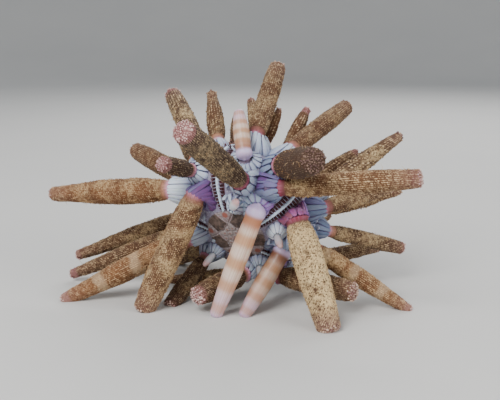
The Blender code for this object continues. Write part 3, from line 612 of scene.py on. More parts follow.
def soft_curve(at, knots, values):
    """A curve through knots that never overshoots: cubic pieces with the harmonic mean of the slopes."""
    knots = np.asarray(knots, float)
    values = np.asarray(values, float)
    step = np.diff(knots)
    slope = np.diff(values) / step
    rate = np.zeros_like(values)
    same = slope[:-1] * slope[1:] > 0
    rate[1:-1][same] = 2 * slope[:-1][same] * slope[1:][same] / (slope[:-1] + slope[1:])[same]
    rate[0] = slope[0]
    rate[-1] = slope[-1]
    which = np.clip(np.searchsorted(knots, at) - 1, 0, len(step) - 1)
    part = np.clip((at - knots[which]) / step[which], 0.0, 1.0)
    low = values[which]
    high = values[which + 1]
    bend = part * (1 - part)
    rise = low + (high - low) * part * part * (3 - 2 * part)
    return rise + step[which] * bend * (rate[which] * (1 - part) - rate[which + 1] * part)


def natural_pose(arc, out, draw):
    """Pose of a hidden spine: straight out of the shell, wandering a little."""
    length = float(np.interp(arc / MM, NATURAL_ARC, NATURAL_LENGTH)) * MM
    girth = float(np.interp(arc / MM, NATURAL_ARC, NATURAL_GIRTH)) * MM
    wander = np.array([draw.uniform(-1, 1) for _ in range(3)])
    axis = unit(out + wander * math.radians(NATURAL_WANDER))
    form = "oral" if girth < SMALL_GIRTH else draw.choice(("blunt", "spindle"))
    return axis, length, girth, form


def joint_height(axis, normal, girth, form):
    """How far over the shell a spine turns: a leaning one turns higher, clear of the shell."""
    upright = float(np.clip(axis @ normal, -1.0, 1.0))
    wide = RING_SHARE.get(form, USUAL_RING_SHARE) * girth / 2
    reach = wide * math.sqrt(1.0 - upright * upright) - RING_AT * upright
    return max(JOINT_HEIGHT, reach + RING_CLEARANCE)


def spine_outline(length, girth, form, ring):
    """Distance from the joint and radius along a spine up to its rounded tip, and the tip's height."""
    half = girth / 2
    scale = min(1.0, length / (NECKS_IN_LENGTH * NECK_END))
    tip_height = TIP_ROUND[form] * FORMS[form][-1][1] * half
    roots = ROOTS.get(form, USUAL_ROOT)
    knots = [min(ROOT_START, ring + roots[0][0] - 0.2) * MM * scale]
    shares = [ROOT_START_SHARE * roots[0][1] / USUAL_ROOT[0][1]]
    for where, width in roots:
        knots.append((ring + where) * MM * scale)
        shares.append(width)
    neck_end = knots[-1]
    for where, width in FORMS[form]:
        knots.append(neck_end + where * (length - tip_height - neck_end))
        shares.append(width)
    at = np.linspace(knots[0], knots[-1], 600)
    return at, half * soft_curve(at, knots, shares), tip_height


def usual_look(form, chance):
    """The look of a spine that the photo doesn't show, from six chances between 0 and 1."""
    if form == "young":
        return Look(0.6, 0.2, 0.9, 0.40, 0.1, 0.0, 0.1, 0.1 * chance[0], 0.7, 0.6)
    if form == "banded":
        return Look(0.6, 0.3, 1.2, -0.2, 0.2, 0.0, 0.0, 0.3 * chance[0], 0.9, 0.6)
    tone = 0.26 + 0.35 * chance[0]
    neck = 0.2 + 0.7 * chance[1]
    bare = 0.1 + 0.5 * chance[2]
    blush = 0.3 * chance[4]
    return Look(tone, chance[5] * 0.6, 1.9, 0.70, neck, bare, chance[3], blush, 1.0, 0.55)


def lay_out_spines():
    """All the primary spines, with their places in world axes."""
    draw = random.Random(SEED)
    tints = np.random.default_rng(SEED)
    spines = []
    for column, first in FIRST_ROW_ARC.items():
        middle = field_centre(int(column[0])) + (COLUMN_TURN if column[1] == "b" else -COLUMN_TURN)
        for row, offset in enumerate(ROW_OFFSETS):
            key = f"{column}{row}"
            arc_shift, turn_shift = OFF_COLUMN.get(key, (0.0, 0.0))
            arc = (first + offset + arc_shift) * MM
            longitude = middle + turn_shift
            if arc > LAST_ROW_ARC:
                continue
            base, normal = on_shell(arc, longitude)
            axis, length, girth, form = natural_pose(arc, normal, draw)
            if key in POSED:
                bearing, rise, reach, width, form = POSED[key]
                axis = heading(bearing, rise)
                girth = width * MM
                length = None if reach == FLOOR else reach * MM
            joint = base + normal * joint_height(axis, normal, girth, form)
            if length is None:
                length = (joint[2] + TIP_SINK) / -axis[2]
            look = LOOKS.get(key, usual_look(form, tints.uniform(size=6)))
            side = unit(np.cross(axis, (0.0, 0.0, 1.0)))
            up = np.cross(side, axis)
            at, radius, tip_height = spine_outline(length, girth, form, look.ring)
            spines.append(Spine(
                key, base, normal, joint, axis, side, up, length, girth, form,
                arc, longitude, look, at, radius, tip_height,
            ))
    return spines


def neck_scale(spine):
    """How far the root of a short spine is drawn in: its length over five necks, at most one."""
    return min(1.0, spine.length / (NECKS_IN_LENGTH * NECK_END))


def sand_cover(spine, places, reach):
    """How far sand hides the beads, from 0 to 1: soft patches, fewer where the rows lie open."""
    patch = uneven(places, 0.9 * MM, SEED + 3) + 0.5 * uneven(places, 0.35 * MM, SEED + 4)
    open_part = smooth(1 - spine.look.bare - 0.15, 1 - spine.look.bare * 0.6, reach)
    return smooth(-0.25, 0.75, 0.75 * patch + spine.look.tone - 0.4) * (1 - 0.85 * open_part), open_part


SPINES = lay_out_spines()


# Points, four- and three-cornered faces, the bake map's corners, and values on the points.
Shape = namedtuple("Shape", "points quads triangles quad_map triangle_map values")


def join(shapes):
    """One shape out of several."""
    starts = np.cumsum([0] + [len(shape.points) for shape in shapes[:-1]])
    points, quads, triangles, quad_map, triangle_map, values = zip(*shapes)
    return Shape(
        np.concatenate(points),
        np.concatenate([faces + start for faces, start in zip(quads, starts)]),
        np.concatenate([faces + start for faces, start in zip(triangles, starts)]),
        np.concatenate(quad_map),
        np.concatenate(triangle_map),
        {name: np.concatenate([own[name] for own in values]) for name in values[0]},
    )


def ringed(points, start, end, map_at, map_size, values):
    """Shapes made of rings of points, each closed by a pole at its start and at its end.

    points has the axes shape, ring, side and xyz. On the bake map each shape fills a box
    with its middle at map_at, sides going across and rings going up. A value is a number, a
    number for each shape, or numbers by ring and side or by shape, ring and side. Faces are
    turned if they look inwards.
    """
    count, rings, sides, _ = points.shape
    per = rings * sides + 2
    every = np.empty((count, per, 3))
    every[:, :-2] = points.reshape(count, -1, 3)
    every[:, -2] = start
    every[:, -1] = end
    ring, side = np.meshgrid(np.arange(rings - 1), np.arange(sides), indexing="ij")
    after = (side + 1) % sides
    quads = np.stack(
        (ring * sides + side, ring * sides + after, (ring + 1) * sides + after, (ring + 1) * sides + side),
        axis=-1,
    ).reshape(-1, 4)
    quad_map = np.stack(
        (
            np.stack((side, side + 1, side + 1, side), axis=-1) / sides,
            np.stack((ring, ring, ring + 1, ring + 1), axis=-1) / (rings + 1) + 1 / (rings + 1),
        ),
        axis=-1,
    ).reshape(-1, 4, 2)
    turn = np.arange(sides)
    next_turn = (turn + 1) % sides
    last = (rings - 1) * sides
    triangles = np.concatenate((
        np.stack((np.full(sides, rings * sides), next_turn, turn), axis=-1),
        np.stack((np.full(sides, rings * sides + 1), last + turn, last + next_turn), axis=-1),
    ))
    low = 1 / (rings + 1)
    across = np.stack((turn + 0.5, turn + 1, turn), axis=-1) / sides
    up = np.tile((0.0, low, low), (sides, 1))
    triangle_map = np.concatenate((
        np.stack((across, up), axis=-1),
        np.stack((across[:, (0, 2, 1)], 1 - up), axis=-1),
    ))
    faces = np.concatenate((quads, triangles[:, (0, 1, 2, 2)]))
    corners = [every[:, faces[:, i]] - every[:, :1] for i in range(4)]
    areas = np.cross(corners[2] - corners[0], corners[3] - corners[1])
    volume = np.einsum("sfi,sfi->", sum(corners), areas)
    if volume < 0:
        quads, quad_map = quads[:, ::-1], quad_map[:, ::-1]
        triangles, triangle_map = triangles[:, ::-1], triangle_map[:, ::-1]
    offset = (np.arange(count) * per)[:, None, None]
    middle = np.broadcast_to(np.asarray(map_at, float), (count, 2))[:, None, None, :]
    reach = np.broadcast_to(np.asarray(map_size, float), (count, 2))[:, None, None, :]
    kept = {}
    for name, value in values.items():
        if np.ndim(value) == 1:
            value = np.asarray(value)[:, None, None]
        spread = np.broadcast_to(value, (count, rings, sides))
        poles = np.stack((spread[:, 0].mean(axis=1), spread[:, -1].mean(axis=1)), axis=1)
        kept[name] = np.concatenate((spread.reshape(count, -1), poles), axis=1).ravel()
    return Shape(
        every.reshape(-1, 3),
        (quads + offset).reshape(-1, 4),
        (triangles + offset).reshape(-1, 3),
        (middle + (quad_map - 0.5) * reach).reshape(-1, 4, 2),
        (middle + (triangle_map - 0.5) * reach).reshape(-1, 3, 2),
        kept,
    )


def swept(centre, facing, half_width, half_depth, sides, map_at, map_size, values):
    """Shapes swept along paths: each ring is an ellipse, half_width across and half_depth out.

    centre has the axes shape, place and xyz. Its first and last places are the poles and the
    others carry the rings, as half_width and half_depth do. facing is the way the flat side
    looks, and a value may change from ring to ring or from side to side.
    """
    along = unit(np.gradient(centre, axis=1))[:, 1:-1]
    facing = np.broadcast_to(facing, along.shape)
    across = unit(np.cross(facing, along))
    out = np.cross(along, across)
    angle = 2 * np.pi * np.arange(sides) / sides
    count, rings, _ = along.shape
    wide = np.broadcast_to(half_width, (count, rings))[:, :, None, None]
    deep = np.broadcast_to(half_depth, (count, rings))[:, :, None, None]
    points = (
        centre[:, 1:-1, None]
        + across[:, :, None] * np.cos(angle)[:, None] * wide
        + out[:, :, None] * np.sin(angle)[:, None] * deep
    )
    return ringed(points, centre[:, 0], centre[:, -1], map_at, map_size, values)


def bend(first, middle, last, part):
    """Places along curves with one control point: the weights are squares and twice the product."""
    part = np.asarray(part)[None, :, None]
    first, middle, last = (end[:, None] for end in (first, middle, last))
    return first * (1 - part) ** 2 + middle * 2 * part * (1 - part) + last * part ** 2


def uneven(points, scale, seed):
    """Smooth unevenness from -1 to 1: a mean of sine waves in random directions."""
    draw = np.random.default_rng(seed)
    waves = draw.normal(size=(7, 3)) / scale
    starts = draw.uniform(0, 2 * np.pi, 7)
    return np.sin(points @ waves.T + starts).mean(axis=-1) * 1.6


def push_clear(points, spines, margin):
    """Moves points out of the spines, straight away from their axes, and out of the shell."""
    for spine in spines:
        away = points - spine.joint
        along = away @ spine.axis
        held = np.clip(along, 0.2 * MM, spine.length - spine.tip_height)
        reach = np.interp(held, spine.at, spine.radius) + margin
        off = away - held[..., None] * spine.axis
        distance = np.linalg.norm(off, axis=-1)
        points = points + unit(off) * np.maximum(reach - distance, 0.0)[..., None]
    local = (points - SHELL_CENTRE) @ AXES
    wide = np.hypot(local[..., 0], local[..., 1]) / SHELL_RADIUS
    deep = np.abs(local[..., 2]) / SHELL_HALF_HEIGHT
    level = (wide ** SHELL_ROUNDNESS + deep ** SHELL_ROUNDNESS) ** (1 / SHELL_ROUNDNESS)
    least = 1.0 + margin / SHELL_HALF_HEIGHT
    local = local * (np.maximum(level, least) / level)[..., None]
    return local @ AXES.T + SHELL_CENTRE


def above_floor(points):
    """Points held on or above the floor."""
    return np.concatenate((points[..., :2], np.maximum(points[..., 2:], 0.0)), axis=-1)


def shell_map(arc, longitude):
    """Where a place on the shell is on the shell's unwrap: longitude across and arc up."""
    across = np.mod(np.asarray(longitude) / 360.0, 1.0)
    return np.stack(np.broadcast_arrays(0.01 + 0.98 * across, 0.01 + 0.98 * arc / WHOLE_ARC), axis=-1)


def in_own_field(longitude, own, margin):
    """Longitudes held inside the broad field that another longitude lies in."""
    middle = np.floor(own / FIELD_PITCH) * FIELD_PITCH
    least = FOOT_FIELD_HALF_WIDTH + margin
    return np.clip(longitude, middle + least, middle + FIELD_PITCH - least)


def on_term(operation, reflected=False):
    """A Python operator that adds a Math node, with the term as its second value if reflected."""
    def operator(self, other):
        return self.maths(operation, *((other, self) if reflected else (self, other)))
    return operator


class Term:
    """A number or a colour inside a material. Operators on it add Math nodes."""

    __add__ = on_term("ADD")
    __radd__ = on_term("ADD", reflected=True)
    __sub__ = on_term("SUBTRACT")
    __rsub__ = on_term("SUBTRACT", reflected=True)
    __mul__ = on_term("MULTIPLY")
    __rmul__ = on_term("MULTIPLY", reflected=True)

    def __init__(self, finish, socket):
        self.finish = finish
        self.socket = socket

    def maths(self, operation, *values):
        """A Math node of an operation on values."""
        node = self.finish.node("ShaderNodeMath", {"operation": operation}, dict(enumerate(values)))
        return Term(self.finish, node.outputs[0])

    def wave(self):
        """The sine of the term."""
        return self.maths("SINE", self)


# The colour sockets of a Mix node, which shares their names with its other kinds.
MIX_FIRST = 6
MIX_SECOND = 7
MIX_RESULT = 2
SCATTER_REACH = 0.5 * MM


class Finish:
    """A material with one shader, and the methods that its patterns are put together with."""

    def __init__(self, name, roughness, coat=0.0, scatter=0.0):
        self.material = bpy.data.materials.new(name)
        self.material.use_nodes = True
        self.tree = self.material.node_tree
        self.shader = self.tree.nodes["Principled BSDF"]
        settings = {
            "Roughness": roughness,
            "Coat Weight": coat,
            "Subsurface Weight": scatter,
            "Subsurface Scale": SCATTER_REACH,
        }
        for socket, value in settings.items():
            self.shader.inputs[socket].default_value = value
        self.place = Term(self, self.node("ShaderNodeTexCoord").outputs["Object"])

    def node(self, kind, settings=None, values=None):
        """A node of a kind, with its settings made first and then its sockets' values or links."""
        node = self.tree.nodes.new(kind)
        for name, value in (settings or {}).items():
            setattr(node, name, value)
        for name, value in (values or {}).items():
            socket = node.inputs[name]
            if isinstance(value, Term):
                self.tree.links.new(value.socket, socket)
            elif socket.type == "RGBA":
                socket.default_value = (*value, 1.0)
            else:
                socket.default_value = value
        return node

    def value(self, name):
        """A value stored on the mesh."""
        node = self.node("ShaderNodeAttribute", {"attribute_name": name})
        return Term(self, node.outputs["Fac"])

    def values(self, *names):
        """Several values stored on the mesh."""
        return [self.value(name) for name in names]

    def noise(self, per_mm, detail=2.0, rough=0.5):
        """Soft noise, with so many features to a millimetre."""
        node = self.node(
            "ShaderNodeTexNoise",
            values={"Vector": self.place, "Scale": per_mm / MM, "Detail": detail, "Roughness": rough},
        )
        return Term(self, node.outputs[0])

    def cells(self, per_mm):
        """Distance from the nearest of many scattered points."""
        node = self.node("ShaderNodeTexVoronoi", values={"Vector": self.place, "Scale": per_mm / MM})
        return Term(self, node.outputs["Distance"])

    def step(self, value, low, high):
        """A soft step of a value from 0 at low to 1 at high."""
        node = self.node(
            "ShaderNodeMapRange",
            {"interpolation_type": "SMOOTHSTEP"},
            {"Value": value, "From Min": low, "From Max": high},
        )
        return Term(self, node.outputs["Result"])

    def mix(self, first, second, part):
        """A colour between two, by a part from 0 to 1."""
        node = self.node(
            "ShaderNodeMix",
            {"data_type": "RGBA", "clamp_factor": True},
            {"Factor": part, MIX_FIRST: first, MIX_SECOND: second},
        )
        return Term(self, node.outputs[MIX_RESULT])

    def layers(self, base, *coats):
        """A colour with others laid over it in turn, each by its own part from 0 to 1."""
        for colour, part in coats:
            base = self.mix(base, colour, part)
        return base

    def colour(self, value):
        """Sets the base colour."""
        self.tree.links.new(value.socket, self.shader.inputs["Base Color"])

    def roughness(self, value):
        """Sets the roughness."""
        self.tree.links.new(value.socket, self.shader.inputs["Roughness"])

    def bump(self, height, depth, strength=1.0):
        """Gives the surface a relief of a depth in metres."""
        node = self.node(
            "ShaderNodeBump", values={"Height": height, "Distance": depth, "Strength": strength}
        )
        self.tree.links.new(node.outputs["Normal"], self.shader.inputs["Normal"])


def clouded(name, first, second, per_mm, roughness, coat=0.0):
    """A material of two colours in soft clouds."""
    made = Finish(name, roughness, coat)
    made.colour(made.mix(first, second, made.noise(per_mm)))
    return made


def make_piece(name, shape, finish, nodes=(), smooth_faces=True):
    """Puts a shape in the scene as one piece that rides on the body and stands for nodes."""
    mesh = bpy.data.meshes.new(name)
    mesh.vertices.add(len(shape.points))
    mesh.vertices.foreach_set("co", shape.points.astype(np.float32).ravel())
    corners = np.concatenate((shape.quads.ravel(), shape.triangles.ravel())).astype(np.int32)
    mesh.loops.add(len(corners))
    mesh.loops.foreach_set("vertex_index", corners)
    fours = np.arange(len(shape.quads)) * 4
    threes = len(shape.quads) * 4 + np.arange(len(shape.triangles)) * 3
    starts = np.concatenate((fours, threes)).astype(np.int32)
    mesh.polygons.add(len(starts))
    mesh.polygons.foreach_set("loop_start", starts)
    mesh.polygons.foreach_set("use_smooth", np.full(len(starts), smooth_faces))
    mesh.update(calc_edges=True)
    places = np.concatenate((shape.quad_map.reshape(-1, 2), shape.triangle_map.reshape(-1, 2)))
    layer = mesh.uv_layers.new(name=BAKE_MAP)
    layer.uv.foreach_set("vector", places.astype(np.float32).ravel())
    for value_name, value in shape.values.items():
        stored = mesh.attributes.new(value_name, "FLOAT", "POINT")
        stored.data.foreach_set("value", value.astype(np.float32))
    mesh.validate()
    mesh.materials.append(finish.material)
    piece = bpy.data.objects.new(name, mesh)
    bpy.context.scene.collection.objects.link(piece)
    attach(piece, "root")
    if nodes:
        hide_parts(*nodes)
    return piece


def apex_plates(arc, longitude):
    """Which plate of the apex a place is on, how far the nearest border is, and how far its middle.

    Each plate owns the places that are nearest to its middle, less the plate's own reach, so
    borders between plates are arcs where the two differences are equal.
    """
    turn = np.radians(longitude)
    here = np.stack((arc * np.cos(turn), arc * np.sin(turn)), axis=-1)
    away = []
    reach = []
    for at, where, own, _ in APEX_PLATES:
        middle = at * np.array((math.cos(math.radians(where)), math.sin(math.radians(where))))
        away.append(np.linalg.norm(here - middle, axis=-1))
        reach.append(away[-1] - own)
    reach = np.stack(reach)
    order = np.argsort(reach, axis=0)
    nearest = np.take_along_axis(reach, order[:2], axis=0)
    kinds = np.array([kind for *_, kind in APEX_PLATES])[order[0]]
    return kinds, nearest[1] - nearest[0], np.take_along_axis(np.stack(away), order[:1], axis=0)[0]


class URCHIN_OT_skin(Operator):
    """Make the skin of the shell, with the plates of the apex and of the mouth"""

    bl_idname = "urchin.skin"
    bl_label = "Skin of the shell"

    def execute(self, context):
        settings = context.scene.urchin_skin
        rings = settings.rings
        arc = (np.arange(rings) + 1.0) / (rings + 1.0) * WHOLE_ARC
        longitude = np.arange(settings.sides) * 360.0 / settings.sides
        arc, longitude = np.meshgrid(arc, longitude, indexing="ij")
        radius = radius_at(arc)
        kinds, border, from_middle = apex_plates(arc, longitude)
        in_disc = 1 - smooth(DISC_ARC - 0.15 * MM, DISC_ARC + 0.15 * MM, arc)
        from_mouth = WHOLE_ARC - arc
        in_mouth = 1 - smooth(0.0, 0.25 * MM, from_mouth - (WHOLE_ARC - MOUTH_ARC))
        middle = np.round(longitude / FIELD_PITCH) * FIELD_PITCH
        aside = np.radians(np.abs(longitude - middle)) * radius
        half = np.radians(FOOT_FIELD_HALF_WIDTH) * radius
        in_foot = (1 - smooth(0.88, 1.02, aside / half)) * (1 - in_disc) * (1 - in_mouth)
        nearness = np.full(arc.shape, 9.0)
        for spine in SPINES:
            turn = np.radians((longitude - spine.longitude + 180.0) % 360.0 - 180.0)
            reach = settings.areole_radius * min(1.0, 0.35 + spine.girth / USUAL_GIRTH)
            nearness = np.minimum(nearness, np.hypot(arc - spine.arc, turn * radius) / reach)
        ring = (1 - smooth(0.84, 1.02, nearness)) * (1 - in_disc)
        rim = hump(nearness, 1.1, 0.12) * (1 - in_disc) * (1 - in_mouth)
        groove = smooth(0.02 * MM, 0.34 * MM, border) ** 0.6
        column = np.floor(longitude / SCALE_TURN)
        scale_part = np.mod(from_mouth / SCALE_ROW + 0.5 * np.mod(column, 2), 1.0)
        seam = np.abs(np.mod(longitude / SCALE_TURN, 1.0) - 0.5) * 2
        scales = smooth(0.0, 0.35, scale_part) * (1 - smooth(0.82, 1.0, seam)) * in_mouth
        lip = hump(from_mouth, 1.7 * MM, 0.5 * MM)
        hollow = 1 - smooth(0.5 * MM, 1.5 * MM, from_mouth)
        points, out = on_shell(arc, longitude)
        granules = uneven(points, 0.10 * MM, SEED + 9)
        pale = (1 - smooth(0.26 * MM, 0.56 * MM, border)) * in_disc
        lift = settings.plate_rise * groove * in_disc
        lift = lift - settings.areole_depth * ring + settings.rim_rise * rim
        lift = lift - settings.foot_depth * in_foot * smooth(0.25, 0.4, aside / half)
        lift = lift + settings.scale_rise * scales + settings.lip_rise * lip
        lift = lift - settings.mouth_depth * hollow
        lift = lift + settings.uneven_rise * (uneven(points, 0.25 * MM, SEED) + granules * pale)
        pore = np.cos(2 * np.pi * arc / context.scene.urchin_feet.pitch) * 0.5 + 0.5
        pore = pore * hump(aside / half, 0.62, 0.22) * in_foot
        points = points + out * lift[..., None]
        small = (kinds == SMALL_PLATE) * in_disc
        vent = (kinds == VENT_PLATE) * in_disc
        values = {
            "foot": in_foot,
            "ring": ring,
            "pore": pore,
            "disc": in_disc,
            "border": pale,
            "ocular": small * (1 - smooth(0.42 * MM, 0.62 * MM, from_middle)),
            "around": small,
            "vent": vent,
            "spot": vent * (1 - smooth(0.10 * MM, 0.26 * MM, from_middle)),
            "mouth": in_mouth,
            "edge": (1 - scales) * in_mouth,
        }
        apex, _ = on_shell(0.0, 0.0, float(settings.plate_rise))
        mouth, _ = on_shell(WHOLE_ARC, 0.0, -float(settings.mouth_depth))
        shape = ringed(points[None], apex, mouth, (0.5, 0.5), (0.98, 0.98), values)
        make_piece("skin", shape, self.finish(settings), sorted(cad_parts))
        return {"FINISHED"}

    def finish(self, settings):
        """Granular skin: lilac grey, dark red foot fields and brown plates with pale borders."""
        made = Finish("urchin_skin", roughness=0.6)
        fine = made.noise(2.2, detail=4.0)
        cloud = made.noise(0.8, detail=4.0, rough=0.65)
        granule = made.step(made.cells(3.4), 0.42, 0.12)
        level = granule * 0.8 + fine * 0.5 - 0.1
        stain = made.step(cloud, 0.52, 0.68) * 0.5
        pale = made.mix(settings.border_dim, settings.border, level)
        pale = made.mix(pale, settings.border_stain, stain)
        mottle = made.step(fine * 0.5 + cloud * 0.6, 0.42, 0.7)
        edge = made.step(made.value("border") + (fine - 0.5) * 0.8 + (cloud - 0.5) * 1.4, 0.15, 0.95)
        plate = made.layers(
            made.mix(settings.genital_dark, settings.genital, mottle),
            (settings.vent, made.value("vent")),
            (settings.vent_spot, made.value("spot") * 0.6),
            (pale, edge * (1 - made.value("vent") * 0.4)),
            (pale, made.value("around")),
            (settings.ocular, made.value("ocular")),
        )
        base = made.layers(
            made.mix(settings.bare, settings.grain, granule * 0.75 + fine * 0.5 - 0.1),
            (settings.bare, made.value("ring") * 0.6),
            (made.mix(settings.foot, settings.pore, made.value("pore") * 0.8), made.value("foot")),
            (plate, made.value("disc")),
            (made.mix(settings.mouth, settings.border, made.value("edge") * fine), made.value("mouth")),
        )
        made.colour(base)
        made.roughness(0.42 + fine * 0.4)
        made.bump(granule + fine * 0.6, 0.05 * MM, 0.8)
        return made


class URCHIN_OT_tubercles(Operator):
    """Make the knob under each primary spine"""

    bl_idname = "urchin.tubercles"
    bl_label = "Tubercles"

    def execute(self, context):
        settings = context.scene.urchin_spines
        width, rise = np.array(TUBERCLE).T
        angle = 2 * np.pi * np.arange(TUBERCLE_SIDES) / TUBERCLE_SIDES
        shapes = []
        for spine in SPINES:
            half = TUBERCLE_HALF * min(1.0, 0.3 + spine.girth / USUAL_GIRTH)
            height = np.linalg.norm(spine.joint - spine.base)
            side = unit(np.cross(spine.normal, spine.axis + (0.01, 0.02, 0.03)))
            other = np.cross(spine.normal, side)
            spoke = spokes(angle, side, other)
            rings = spine.base + spine.normal * (rise * height)[:, None, None]
            rings = rings + spoke * (width * half)[:, None, None]
            top = spine.base + spine.normal * height * 1.06
            bottom = spine.base - spine.normal * 0.5 * MM
            where = shell_map(spine.arc, spine.longitude)
            shapes.append(ringed(rings[None], bottom, top, where, (0.012, 0.012), {}))
        finish = clouded("urchin_tubercle", settings.knob, settings.knob_cloud, 1.5, 0.35, coat=0.2)
        finish.bump(finish.noise(5.0), 0.02 * MM, 0.4)
        make_piece("tubercles", join(shapes), finish)
        return {"FINISHED"}


def spine_shape(spine, row_pitch, ring_pitch, tip_rings, bead_height, lump_height, cell, cells, draw):
    """One primary spine as rings round its axis.

    The radius is the outline, with a soft curve at the tip, plus rows of beads that stand on
    every second side and every second ring, lower where sand hides them, plus broad lumps.
    """
    scale = neck_scale(spine)
    start = spine.look.start * MM * scale
    ring_middle = spine.look.ring * MM * scale
    tip_start = spine.at[-1]
    sides = 2 * max(10, int(round(np.pi * spine.girth / row_pitch)))
    root = np.linspace(spine.at[0], start, 20)[:-1]
    shaft = np.linspace(start, tip_start, max(12, int((tip_start - start) / ring_pitch)))
    rise = np.linspace(0.0, math.pi / 2, tip_rings + 2)[1:-1]
    at = np.concatenate((root, shaft, tip_start + spine.tip_height * np.sin(rise)))
    radius = np.interp(at, spine.at, spine.radius)
    radius[-tip_rings:] = spine.radius[-1] * np.cos(rise)
    ring, side = np.meshgrid(np.arange(len(at)), np.arange(sides), indexing="ij")
    angle = 2 * np.pi * side / sides
    spoke = spokes(angle, spine.side, spine.up)
    middle = spine.joint + at[:, None, None] * spine.axis
    rough = middle + spoke * radius[:, None, None]
    reach = np.clip((at - start) / (spine.length - start), 0, 1)[:, None]
    begun = smooth(start - 0.3 * MM, start + 0.7 * MM, at)[:, None]
    cover, open_part = sand_cover(spine, rough, reach)
    cover = cover * begun
    chance = draw.uniform(size=ring.shape)
    bead = ((ring + side // 2) % 2) * 1.0
    worn = 0.5 + 0.5 * uneven(rough, 0.22 * MM, SEED + 11)
    relief = (side % 2 == 0) * (1 - (0.8 - 0.5 * open_part) * (1 - bead)) * (0.35 + 0.65 * chance)
    relief = relief * (0.45 + 0.75 * worn)
    lumps = 0.6 * uneven(rough, 1.3 * MM, SEED + cell) + 0.5 * uneven(rough, 0.4 * MM, SEED + 7)
    thick = np.minimum(1.0, radius / (0.8 * MM))[:, None]
    near_ring = hump(at, ring_middle, 0.24 * MM)[:, None]
    width = radius[:, None] + (relief - 0.35) * bead_height * thick * begun * (1 - 0.55 * cover)
    width = width + lumps * lump_height * begun + (side % 2) * near_ring * 0.035 * MM
    points = above_floor(middle + spoke * width[..., None])
    tip = above_floor(spine.joint + spine.axis * (tip_start + spine.tip_height))
    crown_depth = (0.5 + 1.3 * spine.look.bare) * MM
    crown = smooth(tip_start - crown_depth - 0.5 * MM, tip_start - 0.5 * crown_depth, at)
    collar = hump(np.maximum(at, ring_middle), ring_middle, 0.50 * MM * scale)
    if spine.form == "banded":
        collar = 1 - smooth(ring_middle + 0.3 * MM, ring_middle + 1.5 * MM, at)
    fade = (2.4 if spine.form == "banded" or spine.look.start < 0.2 else 0.7) * MM
    neck = 1 - smooth(start - 0.4 * MM, start + fade, at)
    values = {
        "reach": reach,
        "relief": relief * begun,
        "chance": chance,
        "streak": draw.uniform(size=sides)[None],
        "cover": cover,
        "crown": (crown * spine.look.crown)[:, None],
        "collar": collar[:, None],
        "under": (1 - smooth(ring_middle - 0.5 * MM, ring_middle - 0.1 * MM, at))[:, None],
        "neck": neck[:, None],
        "tone": spine.look.tone,
        "warm": spine.look.warm,
        "neck_tone": spine.look.neck,
        "bands": FAINT_BANDS.get(spine.key, 0.0),
    }
    return ringed(
        points[None], spine.joint + spine.axis * spine.at[0], tip,
        ((cell + 0.5) / cells, 0.5), (0.94 / cells, 0.96), values,
    )


def is_old(spine):
    """Whether a spine is old enough to carry beads and turf."""
    return spine.form not in ("banded", "young")


def old_spines(field):
    """The old spines of a broad field."""
    return [spine for spine in SPINES if spine.key[0] == str(field) and is_old(spine)]


